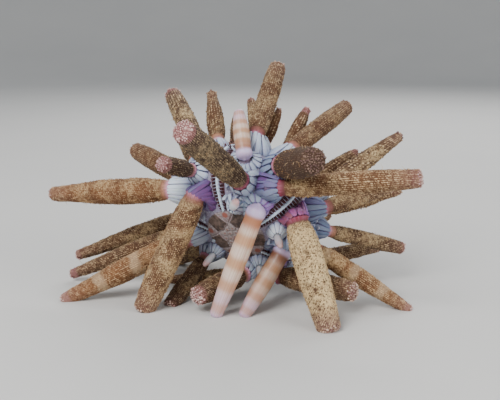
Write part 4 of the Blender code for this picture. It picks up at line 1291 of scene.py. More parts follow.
class URCHIN_OT_old_spines(Operator):
    """Make the old primary spines of each broad field, with rows of beads and a crowned tip"""

    bl_idname = "urchin.old_spines"
    bl_label = "Old spines"

    def execute(self, context):
        settings = context.scene.urchin_spines
        draw = np.random.default_rng(SEED + 5)
        finish = self.finish(settings)
        for field in range(1, FIELDS + 1):
            own = old_spines(field)
            shapes = []
            for cell, spine in enumerate(own):
                coarse = 1.0 if spine.key in FINE_SPINES else settings.far_coarseness
                shapes.append(spine_shape(
                    spine, settings.row_pitch * coarse, settings.ring_pitch * coarse, TIP_RINGS,
                    settings.bead_height, settings.lump_height, cell, len(own), draw,
                ))
            node = f"interambulacrum_{field}"
            make_piece(f"old_spines_{field}", join(shapes), finish, [node])
        return {"FINISHED"}

    def finish(self, settings):
        """Cream beads over dark pits with painted shade in the valleys, sand in patches and dark specks,
        painted shade on the darkest spines, then stains, crown and neck.
        """
        made = Finish("urchin_old_spine", roughness=0.85)
        relief, chance, streak, reach = made.values("relief", "chance", "streak", "reach")
        tone, neck_tone = made.values("tone", "neck_tone")
        fine = made.noise(3.0, detail=4.0, rough=0.7)
        blotch = made.noise(1.1, detail=3.0, rough=0.6)
        soft = made.noise(0.5, detail=2.0)
        # Partly dark pits, partly painted shade: this colour fills the valleys between the beads, and the
        # specks.
        pit_and_shade = made.mix(settings.pit_and_shade, settings.pit_edge, made.step(fine + tone * 0.2, 0.5, 0.85))
        # Dim beads and dim sand on a low tone: partly the spine's own colour, partly painted shade.
        bead = made.mix(settings.dim_bead, settings.bead, tone * 0.9 + chance * 0.5 - 0.22)
        level = relief + (fine - 0.5) * 1.0 + (blotch - 0.5) * 0.8
        sand = made.mix(settings.dim_sand, settings.sand, tone * 0.8 + chance * 0.4 + fine * 0.5 - 0.42)
        grit = made.step(fine + chance * 0.4 + (blotch - 0.5) * 0.5, 0.48, 0.70)
        speck = made.step(made.cells(2.3), 0.42, 0.26) * (0.75 + reach * 0.25)
        bands = made.step((reach * 21.0 + soft * 2.0 - 1.0).wave(), 0.35, 0.95)
        crown = made.mix(settings.crown, settings.crown_row, relief + (fine - 0.5) * 0.8)
        neck = made.mix(settings.neck_salmon, settings.neck_rose, neck_tone)
        neck = made.mix(neck, settings.neck_stain, made.step(fine, 0.44, 0.72) * 0.75)
        collar = made.mix(settings.collar_pink, settings.collar_crimson, neck_tone)
        collar = made.mix(collar, settings.collar_streak, streak * (0.4 - neck_tone * 0.25))
        body = made.layers(
            pit_and_shade,
            (bead, made.step(level, 0.12, 0.70)),
            (made.mix(made.mix(pit_and_shade, sand, 0.55), sand, grit), made.value("cover") * 0.9),
            (settings.pit_and_shade, speck * (0.7 + tone * 0.3)),
            (settings.rust, made.value("warm") * (0.15 + soft * 0.35)),
            # Painted shade over the spines of lowest tone.
            (settings.painted_shade, (1 - made.step(tone, 0.0, 0.30)) * 0.7),
            (settings.pale_band, bands * made.value("bands") * 0.65),
            (settings.tip_tinge, made.step(reach, 0.7, 1.0) * tone * 0.3),
            (crown, made.step(made.value("crown") + (fine - 0.5) * 0.4, 0.3, 0.75)),
            (neck, made.step(made.value("neck") + (fine - 0.5) * 0.7, 0.3, 0.85)),
            (collar, made.value("collar") * (0.7 + streak * 0.3)),
            (made.mix(settings.root_pale, settings.root_dark, neck_tone), made.value("under")),
        )
        made.colour(body)
        made.roughness(0.9 - made.value("neck") * 0.35)
        made.bump(fine + blotch * 0.6 + relief * 0.3, 0.09 * MM, 1.0)
        return made


class URCHIN_OT_young_spines(Operator):
    """Make the smooth banded spines and the short new ones"""

    bl_idname = "urchin.young_spines"
    bl_label = "Young spines"

    def execute(self, context):
        settings = context.scene.urchin_spines
        draw = np.random.default_rng(SEED + 6)
        own = [spine for spine in SPINES if not is_old(spine)]
        shapes = []
        for cell, spine in enumerate(own):
            shape = spine_shape(
                spine, settings.young_row_pitch, settings.young_ring_pitch, YOUNG_TIP_RINGS,
                settings.young_bead_height, settings.young_lump_height, cell, len(own), draw,
            )
            shape.values["short"] = np.full(len(shape.points), 1.0 * (spine.form == "young"))
            shapes.append(shape)
        nodes = sorted({f"interambulacrum_{spine.key[0]}" for spine in own})
        make_piece("young_spines", join(shapes), self.finish(settings), nodes)
        return {"FINISHED"}

    def finish(self, settings):
        """Soft bands of cream and tan with fine streaks, orange under a lilac cap, lilac tip, and painted
        shade on a spine of low tone.
        """
        made = Finish("urchin_young_spine", roughness=0.45, coat=0.08, scatter=0.15)
        reach, streak, tone = made.values("reach", "streak", "tone")
        # Painted shade: a low tone mixes in the shaded copies of the colours.
        shaded_part = 1 - tone
        wobble = made.noise(0.5) * 0.7
        band = made.step((reach * 27.0 - 0.75 + wobble).wave(), -0.95, 0.9)
        fine = made.noise(2.5, detail=3.0)
        orange = made.mix(settings.young_orange, settings.orange_shaded, shaded_part)
        white = made.mix(settings.new_white, settings.new_pink, made.step(reach, 0.45, 0.9))
        white = made.mix(white, settings.new_shaded, shaded_part * 0.8)
        body = made.layers(
            made.mix(settings.young_tan, settings.young_cream, band),
            (settings.young_shaded, shaded_part * 0.65),
            (settings.young_tip, made.step(reach, 0.50, 1.0) * (0.35 + band * 0.55)),
            (settings.young_streak, streak * streak * 0.45),
            (orange, made.step(made.value("neck"), 0.0, 0.9) * 0.9),
            (settings.cap, made.step(made.value("collar"), 0.0, 1.0)),
            (settings.cap_root, made.value("under") * 0.35),
            (white, made.value("short")),
            (settings.young_speck, made.step(fine, 0.6, 0.8) * 0.25),
        )
        made.colour(body)
        made.bump(fine + streak * 0.5, 0.03 * MM, 0.5)
        return made


def round_grains(middle, out, half, tall, spot, values, draw):
    """Eight-sided grains: a four-cornered ring with a pole above and a pole below."""
    count = len(middle)
    along = unit(np.cross(out, draw.normal(size=(count, 3))))
    across = np.cross(out, along) * draw.uniform(0.6, 1.0, count)[:, None]
    way = spokes(np.pi / 2 * np.arange(4), along[:, None], across[:, None])
    ring = middle[:, None] + way * half[:, None, None]
    top = above_floor(middle + out * tall[:, None])
    low = above_floor(middle - out * tall[:, None])
    return ringed(above_floor(ring)[:, None], low, top, spot, TUFT_PATCH, values)


def round_spine(spine, at, angle, lift=0.0):
    """Places round a spine, lifted off its outline, and the ways out there."""
    spoke = spokes(angle, spine.side, spine.up)
    radius = np.interp(at, spine.at, spine.radius) + lift
    return spine.joint + at[:, None] * spine.axis + spoke * radius[:, None], spoke


def spine_spot(spine, cell, cells, at, angle):
    """Where a place on a spine is on the unwrap that the spines of a field share."""
    return np.stack(((cell + angle / (2 * np.pi)) / cells, 0.02 + 0.95 * at / spine.length), axis=-1)


def crown_knobs(spine, cell, cells, pitch, draw):
    """Round knobs over the tip, in a spiral with the golden angle, and once round its edge."""
    wide = spine.radius[-1]
    count = int(np.pi * wide ** 2 * 1.25 / pitch ** 2)
    share = np.sqrt((np.arange(count) + 0.5) / count)
    angle = np.arange(count) * GOLDEN_TURN + draw.normal(0, 0.10, count)
    at = spine.at[-1] + spine.tip_height * np.sqrt(1 - share ** 2)
    spoke = spokes(angle, spine.side, spine.up)
    middle = spine.joint + at[:, None] * spine.axis + spoke * (wide * share)[:, None]
    out = unit(spoke * share[:, None] + spine.axis * (1.15 - share)[:, None])
    half = 0.38 * pitch * draw.lognormal(0.0, 0.2, count)
    along = unit(np.cross(out, (0.31, 0.17, 0.93)))
    across = np.cross(out, along)
    corner = np.pi / 3 * np.arange(6)
    round_way = spokes(corner, along[:, None], across[:, None])
    rise = out[:, None] * half[:, None, None]
    low = middle[:, None] + round_way * half[:, None, None]
    high = middle[:, None] + round_way * (0.72 * half)[:, None, None] + rise * 0.85
    points = above_floor(np.stack((low, high), axis=1))
    foot = above_floor(middle - out * 0.06 * MM)
    top = above_floor(middle + out * (1.25 * half)[:, None])
    spot = np.stack(((cell + 0.5 + 0.3 * share * np.cos(angle)) / cells, 0.985 - 0.01 * share), axis=-1)
    # A knob's tone is held low on a spine of low tone, which carries that spine's painted shade onto its
    # knobs.
    tone = draw.uniform(0.0, 1.0, count) * min(1.0, 0.1 + 3.6 * spine.look.tone)
    values = {"tone": tone, "pink": min(1.0, 0.15 + 1.6 * spine.look.crown), "warm": 0.0}
    return ringed(points, foot, top, spot, TUFT_PATCH, values)


def grains(spine, cell, cells, density, middle_size, draw):
    """Grains scattered over the shaft, thickest on the patches of sand, with random sizes."""
    start = spine.look.start * MM * neck_scale(spine)
    shaft = spine.at >= start
    at_table = spine.at[shaft]
    radius_table = spine.radius[shaft]
    table = np.cumsum(radius_table)
    area = 2 * np.pi * radius_table.mean() * (at_table[-1] - at_table[0])
    count = int(area / MM ** 2 * density)
    at = np.interp(draw.uniform(0, table[-1], count), table, at_table)
    angle = draw.uniform(0, 2 * np.pi, count)
    middle, spoke = round_spine(spine, at, angle, GRAIN_LIFT)
    reach = (at - start) / (spine.length - start)
    cover, open_part = sand_cover(spine, middle, reach)
    begun = smooth(0.0, 0.8 * MM, at - start)
    keep = draw.uniform(size=count) < (0.22 + 0.78 * cover) * (1 - 0.6 * open_part) * begun
    at, angle, spoke, middle = at[keep], angle[keep], spoke[keep], middle[keep]
    total = len(at)
    out = unit(spoke + draw.normal(0, 0.25, (total, 3)))
    half = middle_size * draw.lognormal(0.0, 0.32, total)
    # A grain's tone follows the spine's tone, which carries that spine's painted shade onto its grains.
    tone = np.clip(draw.normal(0.28 + 0.50 * spine.look.tone, 0.15, total), 0.05, 1.0)
    dark = draw.uniform(size=total) < 0.24 - 0.08 * spine.look.tone
    tone = np.where(dark, draw.uniform(0.0, 0.2, total), tone)
    spot = spine_spot(spine, cell, cells, at, angle)
    values = {"tone": tone, "pink": 0.0, "warm": spine.look.warm}
    return round_grains(middle, out, half, half * draw.uniform(0.6, 1.1, total), spot, values, draw)


def threads(spine, cell, cells, count, length, draw):
    """Short threads that stand off a spine and bend down, three-sided and pointed."""
    start = (spine.look.start + 0.5) * MM * neck_scale(spine)
    at = draw.uniform(start, spine.at[-1], count)
    angle = draw.uniform(0, 2 * np.pi, count)
    root, spoke = round_spine(spine, at, angle)
    lean = unit(spoke + draw.normal(0, 0.55, (count, 3)))
    reach = (length * draw.lognormal(0.0, 0.4, count))[:, None]
    middle = root + lean * reach * 0.55
    end = root + unit(lean + THREAD_DROP) * reach
    path = above_floor(bend(root, middle, end, (0.0, 0.05, 0.4, 0.75, 1.0)))
    spot = spine_spot(spine, cell, cells, at, angle)
    values = {"tone": draw.uniform(0.45, 0.95, count), "pink": 0.0, "warm": 0.0}
    facing = unit(np.cross(lean, spine.axis))[:, None]
    return swept(path, facing, THREAD_WIDTHS, THREAD_WIDTHS, 3, spot, TUFT_PATCH, values)


class URCHIN_OT_turf(Operator):
    """Make the sand grains and threads on the old spines, and the knobs at their tips"""

    bl_idname = "urchin.turf"
    bl_label = "Turf"

    def execute(self, context):
        settings = context.scene.urchin_turf
        draw = np.random.default_rng(SEED)
        finish = self.finish(settings)
        for field in range(1, FIELDS + 1):
            own = old_spines(field)
            shapes = []
            for cell, spine in enumerate(own):
                fine = spine.key in FINE_SPINES
                density = settings.grains_per_mm2 if fine else settings.far_grains_per_mm2
                coarse = 1.0 if fine else FAR_GRAIN
                shapes.append(grains(spine, cell, len(own), density, settings.grain_size * coarse, draw))
                shapes.append(crown_knobs(spine, cell, len(own), settings.knob_pitch * coarse, draw))
                count = settings.threads if fine else settings.threads // 2
                shapes.append(threads(spine, cell, len(own), count, settings.thread_length, draw))
            make_piece(f"turf_{field}", join(shapes), finish, smooth_faces=False)
        return {"FINISHED"}

    def finish(self, settings):
        """Each grain has one tone from dark brown to cream, warmer on a warm spine, or pink."""
        made = Finish("urchin_turf", roughness=0.8)
        tone = made.value("tone")
        sand = made.layers(
            settings.dark,
            (settings.brown, tone * (1 / 0.3)),
            (settings.sandy, (tone - 0.3) * (1 / 0.3)),
            (settings.pale, (tone - 0.6) * (1 / 0.35)),
            (settings.warm, made.value("warm") * 0.55),
        )
        pink = made.mix(settings.pink, settings.pink_light, tone * 0.8)
        made.colour(made.mix(sand, pink, made.value("pink")))
        made.bump(made.noise(8.0), 0.02 * MM, 0.5)
        return made


def ring_blades(spine, settings, draw, inner):
    """The blades round one spine, rooted in a ring on the shell and closed into a cone at its neck.

    Their roots stand evenly round the tubercle and their tips evenly round the neck, turned
    together with the spine, so that a leaning spine draws the cone after it. They turn less on the
    stout one, and not at all round a leaning banded one, where they lie flat under its cap.
    A blade is as wide as the way to its neighbours. The inner ones fill the gaps from below.
    """
    look = spine.look
    lean = math.degrees(math.acos(float(np.clip(spine.normal @ spine.axis, -1, 1))))
    flat = spine.form == "banded" and lean > FLAT_LEAN
    tip_at = (look.ring - 0.3 * inner) * MM * neck_scale(spine)
    neck = float(np.interp(tip_at, spine.at, spine.radius))
    foot = neck + settings.spread + 0.5 * look.petal * MM * min(1.0, spine.girth / (3 * MM))
    count = max(8, int(round(2 * np.pi * (0.45 * neck + 0.55 * foot) / (look.petal * MM))))
    angle = 2 * np.pi * (np.arange(count) + 0.5 * inner) / count + draw.normal(0, 0.03, count)
    foot = foot - INNER_STEP * inner
    near, _ = on_shell(
        spine.arc + np.array((-0.1, 0.1, 0.0, 0.0)) * MM,
        spine.longitude + np.array((0.0, 0.0, -0.5, 0.5)),
    )
    down = unit(near[1] - near[0])
    sideways = unit(near[3] - near[2])
    away = spokes(angle, down, sideways)
    gaps = np.array([other.base - spine.base for other in SPINES if other is not spine])
    toward = np.maximum(away @ gaps.T, 1e-9)
    shared = np.min(np.sum(gaps ** 2, axis=-1) / (2 * toward), axis=1)
    foot = np.minimum(foot, (FLAT_REACH if flat else 1.0) * settings.shared * shared)
    arc = spine.arc + foot * np.cos(angle)
    longitude = spine.longitude + np.degrees(foot * np.sin(angle) / float(radius_at(spine.arc)))
    arc = np.clip(arc, DISC_ARC - 0.35 * MM, MOUTH_ARC + 0.3 * MM)
    longitude = in_own_field(longitude, spine.longitude, 0.8)
    root, out = on_shell(arc, longitude, -BLADE_SINK)
    hold = 1.0 if flat else STOUT_HOLD * (spine.form == "stout")
    pull = unit(spine.axis * (1 - hold) + spine.normal * hold)
    side = turned(away, spine.normal, pull)
    tips = (tip_at + draw.normal(0, 0.05 * MM, count))[:, None]
    if flat:
        tip = spine.base + spine.normal * FLAT_LIFT + side * ((1.06 - 0.15 * inner) * spine.girth / 2)
    else:
        tip = spine.joint + pull * tips + side * (neck + (0.09 - 0.12 * inner) * MM)
    middle = (root + tip) / 2 + unit(away + side + 0.6 * out) * settings.bulge
    path = bend(root, middle, tip, BLADE_STEPS)
    path[:, 2:] = push_clear(path[:, 2:], SPINES, settings.thickness * (0.4 - 0.3 * inner))
    path[:, 2:-2] = push_clear(path[:, 2:-2], [spine], settings.thickness * (0.9 - 0.4 * inner))
    part = np.array(BLADE_STEPS[1:-1])[:, None]
    facing = unit((away + 0.5 * out)[:, None] * (1 - part) + side[:, None] * part)
    spacing = 0.5 * np.linalg.norm(np.roll(path, -1, axis=0) - np.roll(path, 1, axis=0), axis=-1)
    close = 0.93 if flat else 1.02 + 0.14 * look.white
    petal = look.petal * MM
    width = np.clip(spacing[:, 1:-1] * close, LEAST_WIDTH * petal, MOST_WIDTH * petal) / 2
    inward = float(np.sign(SHELL_CENTRE[0] - spine.base[0])) * side[:, 0]
    way = 0.7 * side[:, 0] if flat else 0.4 * side[:, 2] + 0.3 * inward - 0.15 * side[:, 1]
    blush = look.blush * (0.60 + way) + draw.normal(0, 0.10, count)
    return path, facing, width, arc, longitude, np.clip(blush + 0.1 * inner, 0, 1.2)


def blade_shape(path, facing, width, arc, longitude, blush, thickness, white, draw):
    """Blades as flat ellipses swept along their paths, with rounded ends and a few fine grooves."""
    around = np.cos(2 * np.pi * np.arange(BLADE_SIDES) / BLADE_SIDES)
    values = {
        "rise": np.array(BLADE_STEPS[1:-1])[:, None],
        "across": around[None],
        "blush": blush,
        "tone": draw.uniform(0, 1, len(path)),
        "white": white,
    }
    return swept(
        path, facing, width * BLADE_WIDTHS, thickness / 2 * BLADE_DEPTHS, BLADE_SIDES,
        shell_map(arc, longitude), TUFT_PATCH, values,
    )


def small_blade_roots(spacing, clear, draw):
    """Places for small blades: random ones that keep off the rings and off one another."""
    table = np.cumsum(FINE_RADIUS)
    arc = np.interp(draw.uniform(0, table[-1], SMALL_BLADE_TRIES), table, FINE_ARC)
    longitude = draw.uniform(0, 360, SMALL_BLADE_TRIES)
    keep = (arc > DISC_ARC + 0.7 * MM) & (arc < MOUTH_ARC + 0.2 * MM)
    middle = np.round(longitude / FIELD_PITCH) * FIELD_PITCH
    keep &= np.abs(longitude - middle) > FOOT_FIELD_HALF_WIDTH + 2.0
    points, _ = on_shell(arc, longitude)
    for spine in SPINES:
        neck = 0.76 * spine.girth / 2
        reach = neck + 0.55 * MM + 0.5 * spine.look.petal * MM * min(1.0, spine.girth / (3 * MM))
        keep &= np.linalg.norm(points - spine.base, axis=-1) > reach + clear
    arc, longitude, points = arc[keep], longitude[keep], points[keep]
    chosen = []
    free = np.ones(len(arc), bool)
    while free.any():
        first = int(np.argmax(free))
        chosen.append(first)
        free &= np.linalg.norm(points - points[first], axis=-1) > spacing
    return arc[chosen], longitude[chosen]


class URCHIN_OT_blades(Operator):
    """Make the ring of flat blades round each primary spine, and the small blades between"""

    bl_idname = "urchin.blades"
    bl_label = "Blades"

    def execute(self, context):
        settings = context.scene.urchin_blades
        draw = np.random.default_rng(SEED + 1)
        finish = self.finish(settings)
        for field in range(1, FIELDS + 1):
            shapes = []
            for spine in [spine for spine in SPINES if spine.key[0] == str(field)]:
                for inner in (0, 1):
                    blades = ring_blades(spine, settings, draw, inner)
                    # Inner blades get half the white: painted shade in the gaps under the outer blades.
                    white = spine.look.white * (1 - 0.5 * inner)
                    shapes.append(blade_shape(*blades, settings.thickness, white, draw))
            make_piece(f"ring_blades_{field}", join(shapes), finish)
        shape = self.small_blades(settings, draw)
        make_piece("small_blades", shape, finish)
        return {"FINISHED"}

    def small_blades(self, settings, draw):
        """Small rounded blades between the rings, which lie nearly flat, away from the nearest ring."""
        arc, longitude = small_blade_roots(settings.spacing, settings.areole_clear, draw)
        root, out = on_shell(arc, longitude, -0.08 * MM)
        bases = np.array([spine.base for spine in SPINES])
        nearest = np.argmin(np.linalg.norm(root[:, None] - bases, axis=-1), axis=1)
        away = root - bases[nearest]
        away = unit(away - np.sum(away * out, axis=-1)[:, None] * out)
        count = len(root)
        length = settings.small_length * draw.normal(1.0, 0.15, count)[:, None]
        lean = unit(out * 0.38 + away * 0.60 + draw.normal(0, 0.28, (count, 3)))
        tip = root + lean * length
        middle = (root + tip) / 2 + out * 0.22 * MM
        path = bend(root, middle, tip, BLADE_STEPS)
        path[:, 2:] = push_clear(path[:, 2:], SPINES, 0.08 * MM)
        facing = unit(out - lean * 0.5)[:, None]
        width = settings.small_width * draw.normal(1.0, 0.1, count)[:, None] / 2
        blush = np.clip(draw.normal(0.0, 0.18, count), 0, 1)
        white = np.clip(draw.normal(0.75, 0.12, count), 0, 1)
        return blade_shape(
            path, facing, width, arc, longitude, blush, settings.small_thickness, white, draw
        )

    def finish(self, settings):
        """Bluish white or its shaded copy as painted shade, with fine stripes along it, lilac edges that
        also paint the shade between blades, and magenta on some, with plum as painted shade.
        """
        made = Finish("urchin_blade", roughness=0.48, scatter=0.12)
        rise, across, white_and_lit = made.values("rise", "across", "white")
        stripe = (across * 17.0 + made.noise(1.0) * 3.0).wave() * 0.5 + 0.5
        cloud = made.noise(0.9, detail=3.0)
        climb = made.step(rise + (cloud - 0.5) * 0.4, 0.0, 0.75)
        white = made.mix(settings.root, settings.tip, climb)
        # Painted shade: the shaded copy of the blade, mixed in where white is low.
        shaded_blade = made.mix(settings.shaded_root, settings.shaded_tip, climb)
        level = made.value("blush") + (cloud - 0.5) * 0.25
        pink = made.layers(
            made.mix(settings.violet, settings.blush, made.step(level, 0.5, 0.9)),
            (settings.crimson, made.step(level, 0.9, 1.15)),
            # Painted shade over the blush where white is low.
            (settings.shaded_plum, (1 - made.step(white_and_lit, 0.0, 0.25)) * 0.65),
        )
        body = made.layers(
            made.mix(shaded_blade, white, white_and_lit),
            (settings.stripe, made.value("tone") * stripe * 0.3),
            (pink, made.step(level, 0.25, 0.7) * 0.85),
            # Lilac edges: partly the blade's own colour, partly painted shade between blades.
            (settings.edge, made.step(across * across, 0.5, 1.0) * 0.7),
        )
        made.colour(body)
        made.bump(stripe + cloud * 0.5, 0.03 * MM, 0.7)
        return made


def foot_rows(pitch):
    """Arc, longitude of the midline and side, -1 or 1, of each row of each foot field."""
    arc = np.arange(DISC_ARC + 0.25 * MM, MOUTH_ARC - 0.1 * MM, pitch)
    number = np.arange(FIELDS) * FIELD_PITCH
    arc, middle, side = np.meshgrid(arc, number, (-1.0, 1.0), indexing="ij")
    return arc.ravel(), middle.ravel(), side.ravel()


class URCHIN_OT_foot_fields(Operator):
    """Make the pale midlines, the cross ribs and the tube feet of the foot fields"""

    bl_idname = "urchin.foot_fields"
    bl_label = "Foot fields"

    def execute(self, context):
        settings = context.scene.urchin_feet
        draw = np.random.default_rng(SEED + 2)
        rows = foot_rows(settings.pitch)
        self.midline(settings, *rows, draw)
        self.ribs(settings, *rows, draw)
        self.feet(settings, *rows, draw)
        return {"FINISHED"}

    def midline(self, settings, arc, middle, side, draw):
        """Two rows of broad flat blades that lie over the midline and overlap like tiles."""
        radius = radius_at(arc)
        across = side * np.degrees(1.0 / radius)
        slim = np.minimum(1.0, radius / WIDE_FIELD_RADIUS)
        aside = settings.ridge_half * slim * across
        root, out = on_shell(arc, middle + aside, -0.06 * MM)
        over, _ = on_shell(
            arc + draw.normal(0.10, 0.04, len(arc)) * MM,
            middle - 0.04 * MM * across,
            settings.ridge_rise * slim,
        )
        path = bend(root, (root + over) / 2 + out * 0.16 * MM, over, BLADE_STEPS)
        beyond, _ = on_shell(arc, middle + 2 * aside)
        facing = unit(beyond - root + out * 0.5 * MM)[:, None]
        width = np.full((len(arc), 1), 0.66 * settings.pitch)
        shape = blade_shape(
            path, facing, width, arc, middle + aside, np.zeros(len(arc)),
            settings.ridge_thickness, 1.0, draw,
        )
        made = Finish("urchin_midline_blade", roughness=0.5, scatter=0.1)
        cloud = made.noise(1.4, detail=3.0)
        climb = made.step(made.value("rise") + cloud * 0.3, 0.0, 0.7)
        body = made.mix(settings.blade_root, settings.blade, climb)
        made.colour(made.mix(body, settings.blade_light, made.value("tone") * 0.3))
        made.bump(cloud, 0.02 * MM, 0.5)
        make_piece("midline_blades", shape, made)

    def ribs(self, settings, arc, middle, side, draw):
        """Slim ribs that lie across the dark skin, one to a row, pale inside and mauve outside."""
        inner = 0.9 * settings.ridge_half * np.degrees(1.0 / radius_at(arc))
        start, out = on_shell(arc, middle + side * inner, 0.05 * MM)
        end, end_out = on_shell(
            arc + draw.normal(0, 0.05, len(arc)) * MM,
            middle + side * (0.98 + draw.normal(0, 0.03, len(arc))) * FOOT_FIELD_HALF_WIDTH,
            0.16 * MM,
        )
        path = bend(start, (start + end) / 2 + out * 0.24 * MM, end, RIB_STEPS)
        wide = settings.rib_width * RIB_WIDTHS
        values = {
            "rise": np.array(RIB_STEPS[1:-1])[:, None],
            "tone": draw.uniform(0, 1, len(arc)),
        }
        spot = shell_map(arc, middle + side * 0.6 * FOOT_FIELD_HALF_WIDTH)
        shape = swept(path, end_out[:, None], wide, wide * 1.3, 6, spot, TUFT_PATCH, values)
        made = Finish("urchin_rib", roughness=0.5)
        cloud = made.noise(2.0)
        outward = made.step(made.value("rise") + (cloud - 0.5) * 0.4, 0.15, 0.9)
        body = made.mix(settings.rib, settings.rib_end, outward)
        made.colour(made.mix(body, settings.rib_light, made.value("tone") * 0.2))
        made.bump(cloud, 0.02 * MM, 0.4)
        make_piece("cross_ribs", shape, made)

    def feet(self, settings, arc, middle, side, draw):
        """Tube feet between the ribs: drawn in and dark near the apex, long with a sucker below."""
        arc = arc + settings.pitch / 2
        keep = arc < MOUTH_ARC
        arc, middle, side = arc[keep], middle[keep], side[keep]
        count = len(arc)
        longitude = middle + side * (0.62 + draw.normal(0, 0.06, count)) * FOOT_FIELD_HALF_WIDTH
        root, out = on_shell(arc, longitude, -0.1 * MM)
        oral = smooth(0.45 * WHOLE_ARC, 0.85 * WHOLE_ARC, arc)[:, None]
        length = settings.foot_length * draw.lognormal(0, 0.3, count)[:, None] * (0.32 + 1.8 * oral)
        lean = unit(out + draw.normal(0, 0.35, (count, 3)))
        end = root + lean * length
        path = bend(root, root + out * length * 0.6, end, FOOT_STEPS)
        path[:, 2:] = push_clear(path[:, 2:], SPINES, 0.1 * MM)
        wide = settings.foot_radius * FOOT_WIDTHS
        values = {
            "rise": np.array(FOOT_STEPS[1:-1])[:, None],
            "tone": draw.uniform(0, 1, count),
            "oral": oral[:, :, None],
        }
        facing = unit(np.cross(lean, (0.3, 0.2, 1.0)))[:, None]
        shape = swept(path, facing, wide, wide, 7, shell_map(arc, longitude), TUFT_PATCH, values)
        made = Finish("urchin_tube_foot", roughness=0.35, coat=0.25, scatter=0.1)
        body = made.mix(settings.foot, settings.foot_dark, made.value("tone"))
        ends = made.step(made.value("rise"), 0.78, 0.9) * made.value("oral")
        made.colour(made.mix(body, settings.sucker, ends))
        made.bump(made.noise(4.0), 0.02 * MM, 0.4)
        make_piece("tube_feet", shape, made)


class URCHIN_OT_teeth(Operator):
    """Make the five teeth that show in the mouth"""

    bl_idname = "urchin.teeth"
    bl_label = "Teeth"

    def execute(self, context):
        settings = context.scene.urchin_mouth
        turn = np.radians((np.arange(FIELDS) + 0.5) * FIELD_PITCH)
        spoke = np.stack((np.cos(turn), np.sin(turn), np.zeros(FIELDS)), axis=-1) @ AXES.T
        mouth, out = on_shell(WHOLE_ARC, 0.0)
        root = mouth + spoke * 1.1 * MM - out * 1.2 * MM
        tip = mouth + spoke * 0.12 * MM + out * (settings.tooth_length - 1.2 * MM)
        control = mouth + spoke * 1.05 * MM + out * 0.1 * MM
        path = bend(root, control, tip, TOOTH_STEPS)
        wide = settings.tooth_width / 2 * TOOTH_WIDTHS
        spot = shell_map(WHOLE_ARC * 0.97, np.degrees(turn))
        shape = swept(path, spoke[:, None], wide, wide * 0.55, 10, spot, TUFT_PATCH, {})
        finish = clouded("urchin_tooth", settings.tooth, settings.stain, 1.0, 0.3, coat=0.3)
        finish.bump(finish.noise(1.0), 0.02 * MM, 0.3)
        make_piece("teeth", shape, finish, ["peristome"])
        return {"FINISHED"}


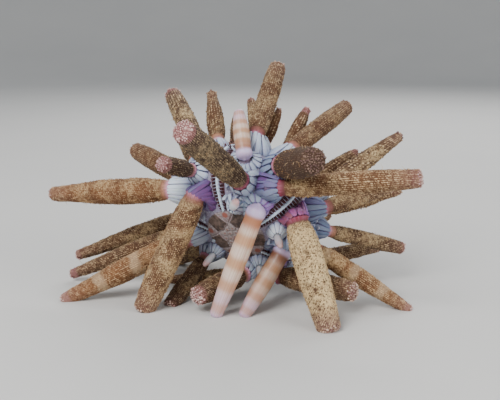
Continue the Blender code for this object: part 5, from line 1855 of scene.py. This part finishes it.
class URCHIN_OT_stage(Operator):
    """Make the pale floor, the soft lights and the camera"""

    bl_idname = "urchin.stage"
    bl_label = "Stage"

    def execute(self, context):
        settings = context.scene.urchin_stage
        self.floor(settings)
        target = Vector(SHELL_CENTRE)
        for name, (place, width) in LAMPS.items():
            self.lamp(name, place, width, getattr(settings, f"{name}_power"), target)
        world = bpy.data.worlds.new("sky")
        world.use_nodes = True
        background = world.node_tree.nodes["Background"]
        background.inputs["Color"].default_value = (*settings.sky_tint, 1.0)
        background.inputs["Strength"].default_value = settings.sky
        context.scene.world = world
        self.camera(context, settings)
        return {"FINISHED"}

    def floor(self, settings):
        """A round pale floor that curves up into a backdrop on every side."""
        rise = np.linspace(0, math.pi / 2, FLOOR_STEPS)[1:]
        level = np.linspace(0.03, FLOOR_FLAT, FLOOR_STEPS)
        radius = np.concatenate((level, FLOOR_FLAT + FLOOR_BOWL * np.sin(rise)))
        height = np.concatenate((level * 0, FLOOR_BOWL - FLOOR_BOWL * np.cos(rise)))
        angle = 2 * np.pi * np.arange(FLOOR_SIDES) / FLOOR_SIDES
        points = spokes(angle, Vector((1, 0, 0)), Vector((0, 1, 0))) * radius[:, None, None]
        points[..., 2] = height[:, None]
        ring, side = np.meshgrid(np.arange(len(radius) - 1), np.arange(FLOOR_SIDES), indexing="ij")
        low = ring * FLOOR_SIDES
        high = low + FLOOR_SIDES
        after = (side + 1) % FLOOR_SIDES
        quads = np.stack((low + side, high + side, high + after, low + after), axis=-1).reshape(-1, 4)
        fan = [(radius.size * FLOOR_SIDES, i, (i + 1) % FLOOR_SIDES) for i in range(FLOOR_SIDES)]
        mesh = bpy.data.meshes.new("floor")
        corners = points.reshape(-1, 3).tolist() + [(0.0, 0.0, 0.0)]
        mesh.from_pydata(corners, [], quads.tolist() + fan)
        mesh.shade_smooth()
        finish = clouded("stage_floor", settings.floor, settings.floor_cloud, 0.02, 0.9)
        mesh.materials.append(finish.material)
        floor = bpy.data.objects.new("floor", mesh)
        bpy.context.scene.collection.objects.link(floor)

    def lamp(self, name, place, width, power, target):
        """A square soft light that looks at the urchin."""
        light = bpy.data.lights.new(name, "AREA")
        light.size = width
        light.energy = power
        lamp = bpy.data.objects.new(name, light)
        lamp.location = place
        lamp.rotation_euler = (target - Vector(place)).to_track_quat("-Z", "Y").to_euler()
        bpy.context.scene.collection.objects.link(lamp)

    def camera(self, context, settings):
        """The camera, level from side to side, looking down a little at the shell."""
        data = bpy.data.cameras.new("camera")
        data.lens = settings.lens
        data.sensor_width = 36.0
        data.clip_start = 0.01
        data.clip_end = 10.0
        camera = bpy.data.objects.new("camera", data)
        tilt = Matrix.Rotation(math.radians(90.0 - settings.elevation), 4, "X")
        place = (settings.shift_right, settings.shift_up, settings.distance)
        camera.matrix_world = Matrix.Translation(SHELL_CENTRE) @ tilt @ Matrix.Translation(place)
        context.scene.collection.objects.link(camera)
        context.scene.camera = camera


STEPS = (
    URCHIN_OT_skin,
    URCHIN_OT_tubercles,
    URCHIN_OT_old_spines,
    URCHIN_OT_young_spines,
    URCHIN_OT_turf,
    URCHIN_OT_blades,
    URCHIN_OT_foot_fields,
    URCHIN_OT_teeth,
    URCHIN_OT_stage,
)
SETTINGS = {
    "urchin_skin": SkinSettings,
    "urchin_spines": SpineSettings,
    "urchin_turf": TurfSettings,
    "urchin_blades": BladeSettings,
    "urchin_feet": FootSettings,
    "urchin_mouth": MouthSettings,
    "urchin_stage": StageSettings,
}


class URCHIN_PT_panel(Panel):
    """Lists the steps that build the urchin, and their settings"""

    bl_idname = "URCHIN_PT_panel"
    bl_label = "Sea urchin"
    bl_space_type = "VIEW_3D"
    bl_region_type = "UI"
    bl_category = "Urchin"

    def draw(self, context):
        layout = self.layout
        for step in STEPS:
            layout.operator(step.bl_idname)
        for name, group in SETTINGS.items():
            box = layout.box()
            box.label(text=group.__doc__)
            for field in group.__annotations__:
                box.prop(getattr(context.scene, name), field)


def register():
    """Adds the settings, the steps and the panel."""
    for group in SETTINGS.values():
        bpy.utils.register_class(group)
    for name, group in SETTINGS.items():
        setattr(bpy.types.Scene, name, PointerProperty(type=group))
    for step in (*STEPS, URCHIN_PT_panel):
        bpy.utils.register_class(step)


def unregister():
    """Takes the panel, the steps and the settings away again."""
    for step in reversed((*STEPS, URCHIN_PT_panel)):
        bpy.utils.unregister_class(step)
    for name in SETTINGS:
        delattr(bpy.types.Scene, name)
    for group in SETTINGS.values():
        bpy.utils.unregister_class(group)


def main():
    register()
    for step in STEPS:
        group, name = step.bl_idname.split(".")
        getattr(getattr(bpy.ops, group), name)()


if __name__ == "__main__":
    main()
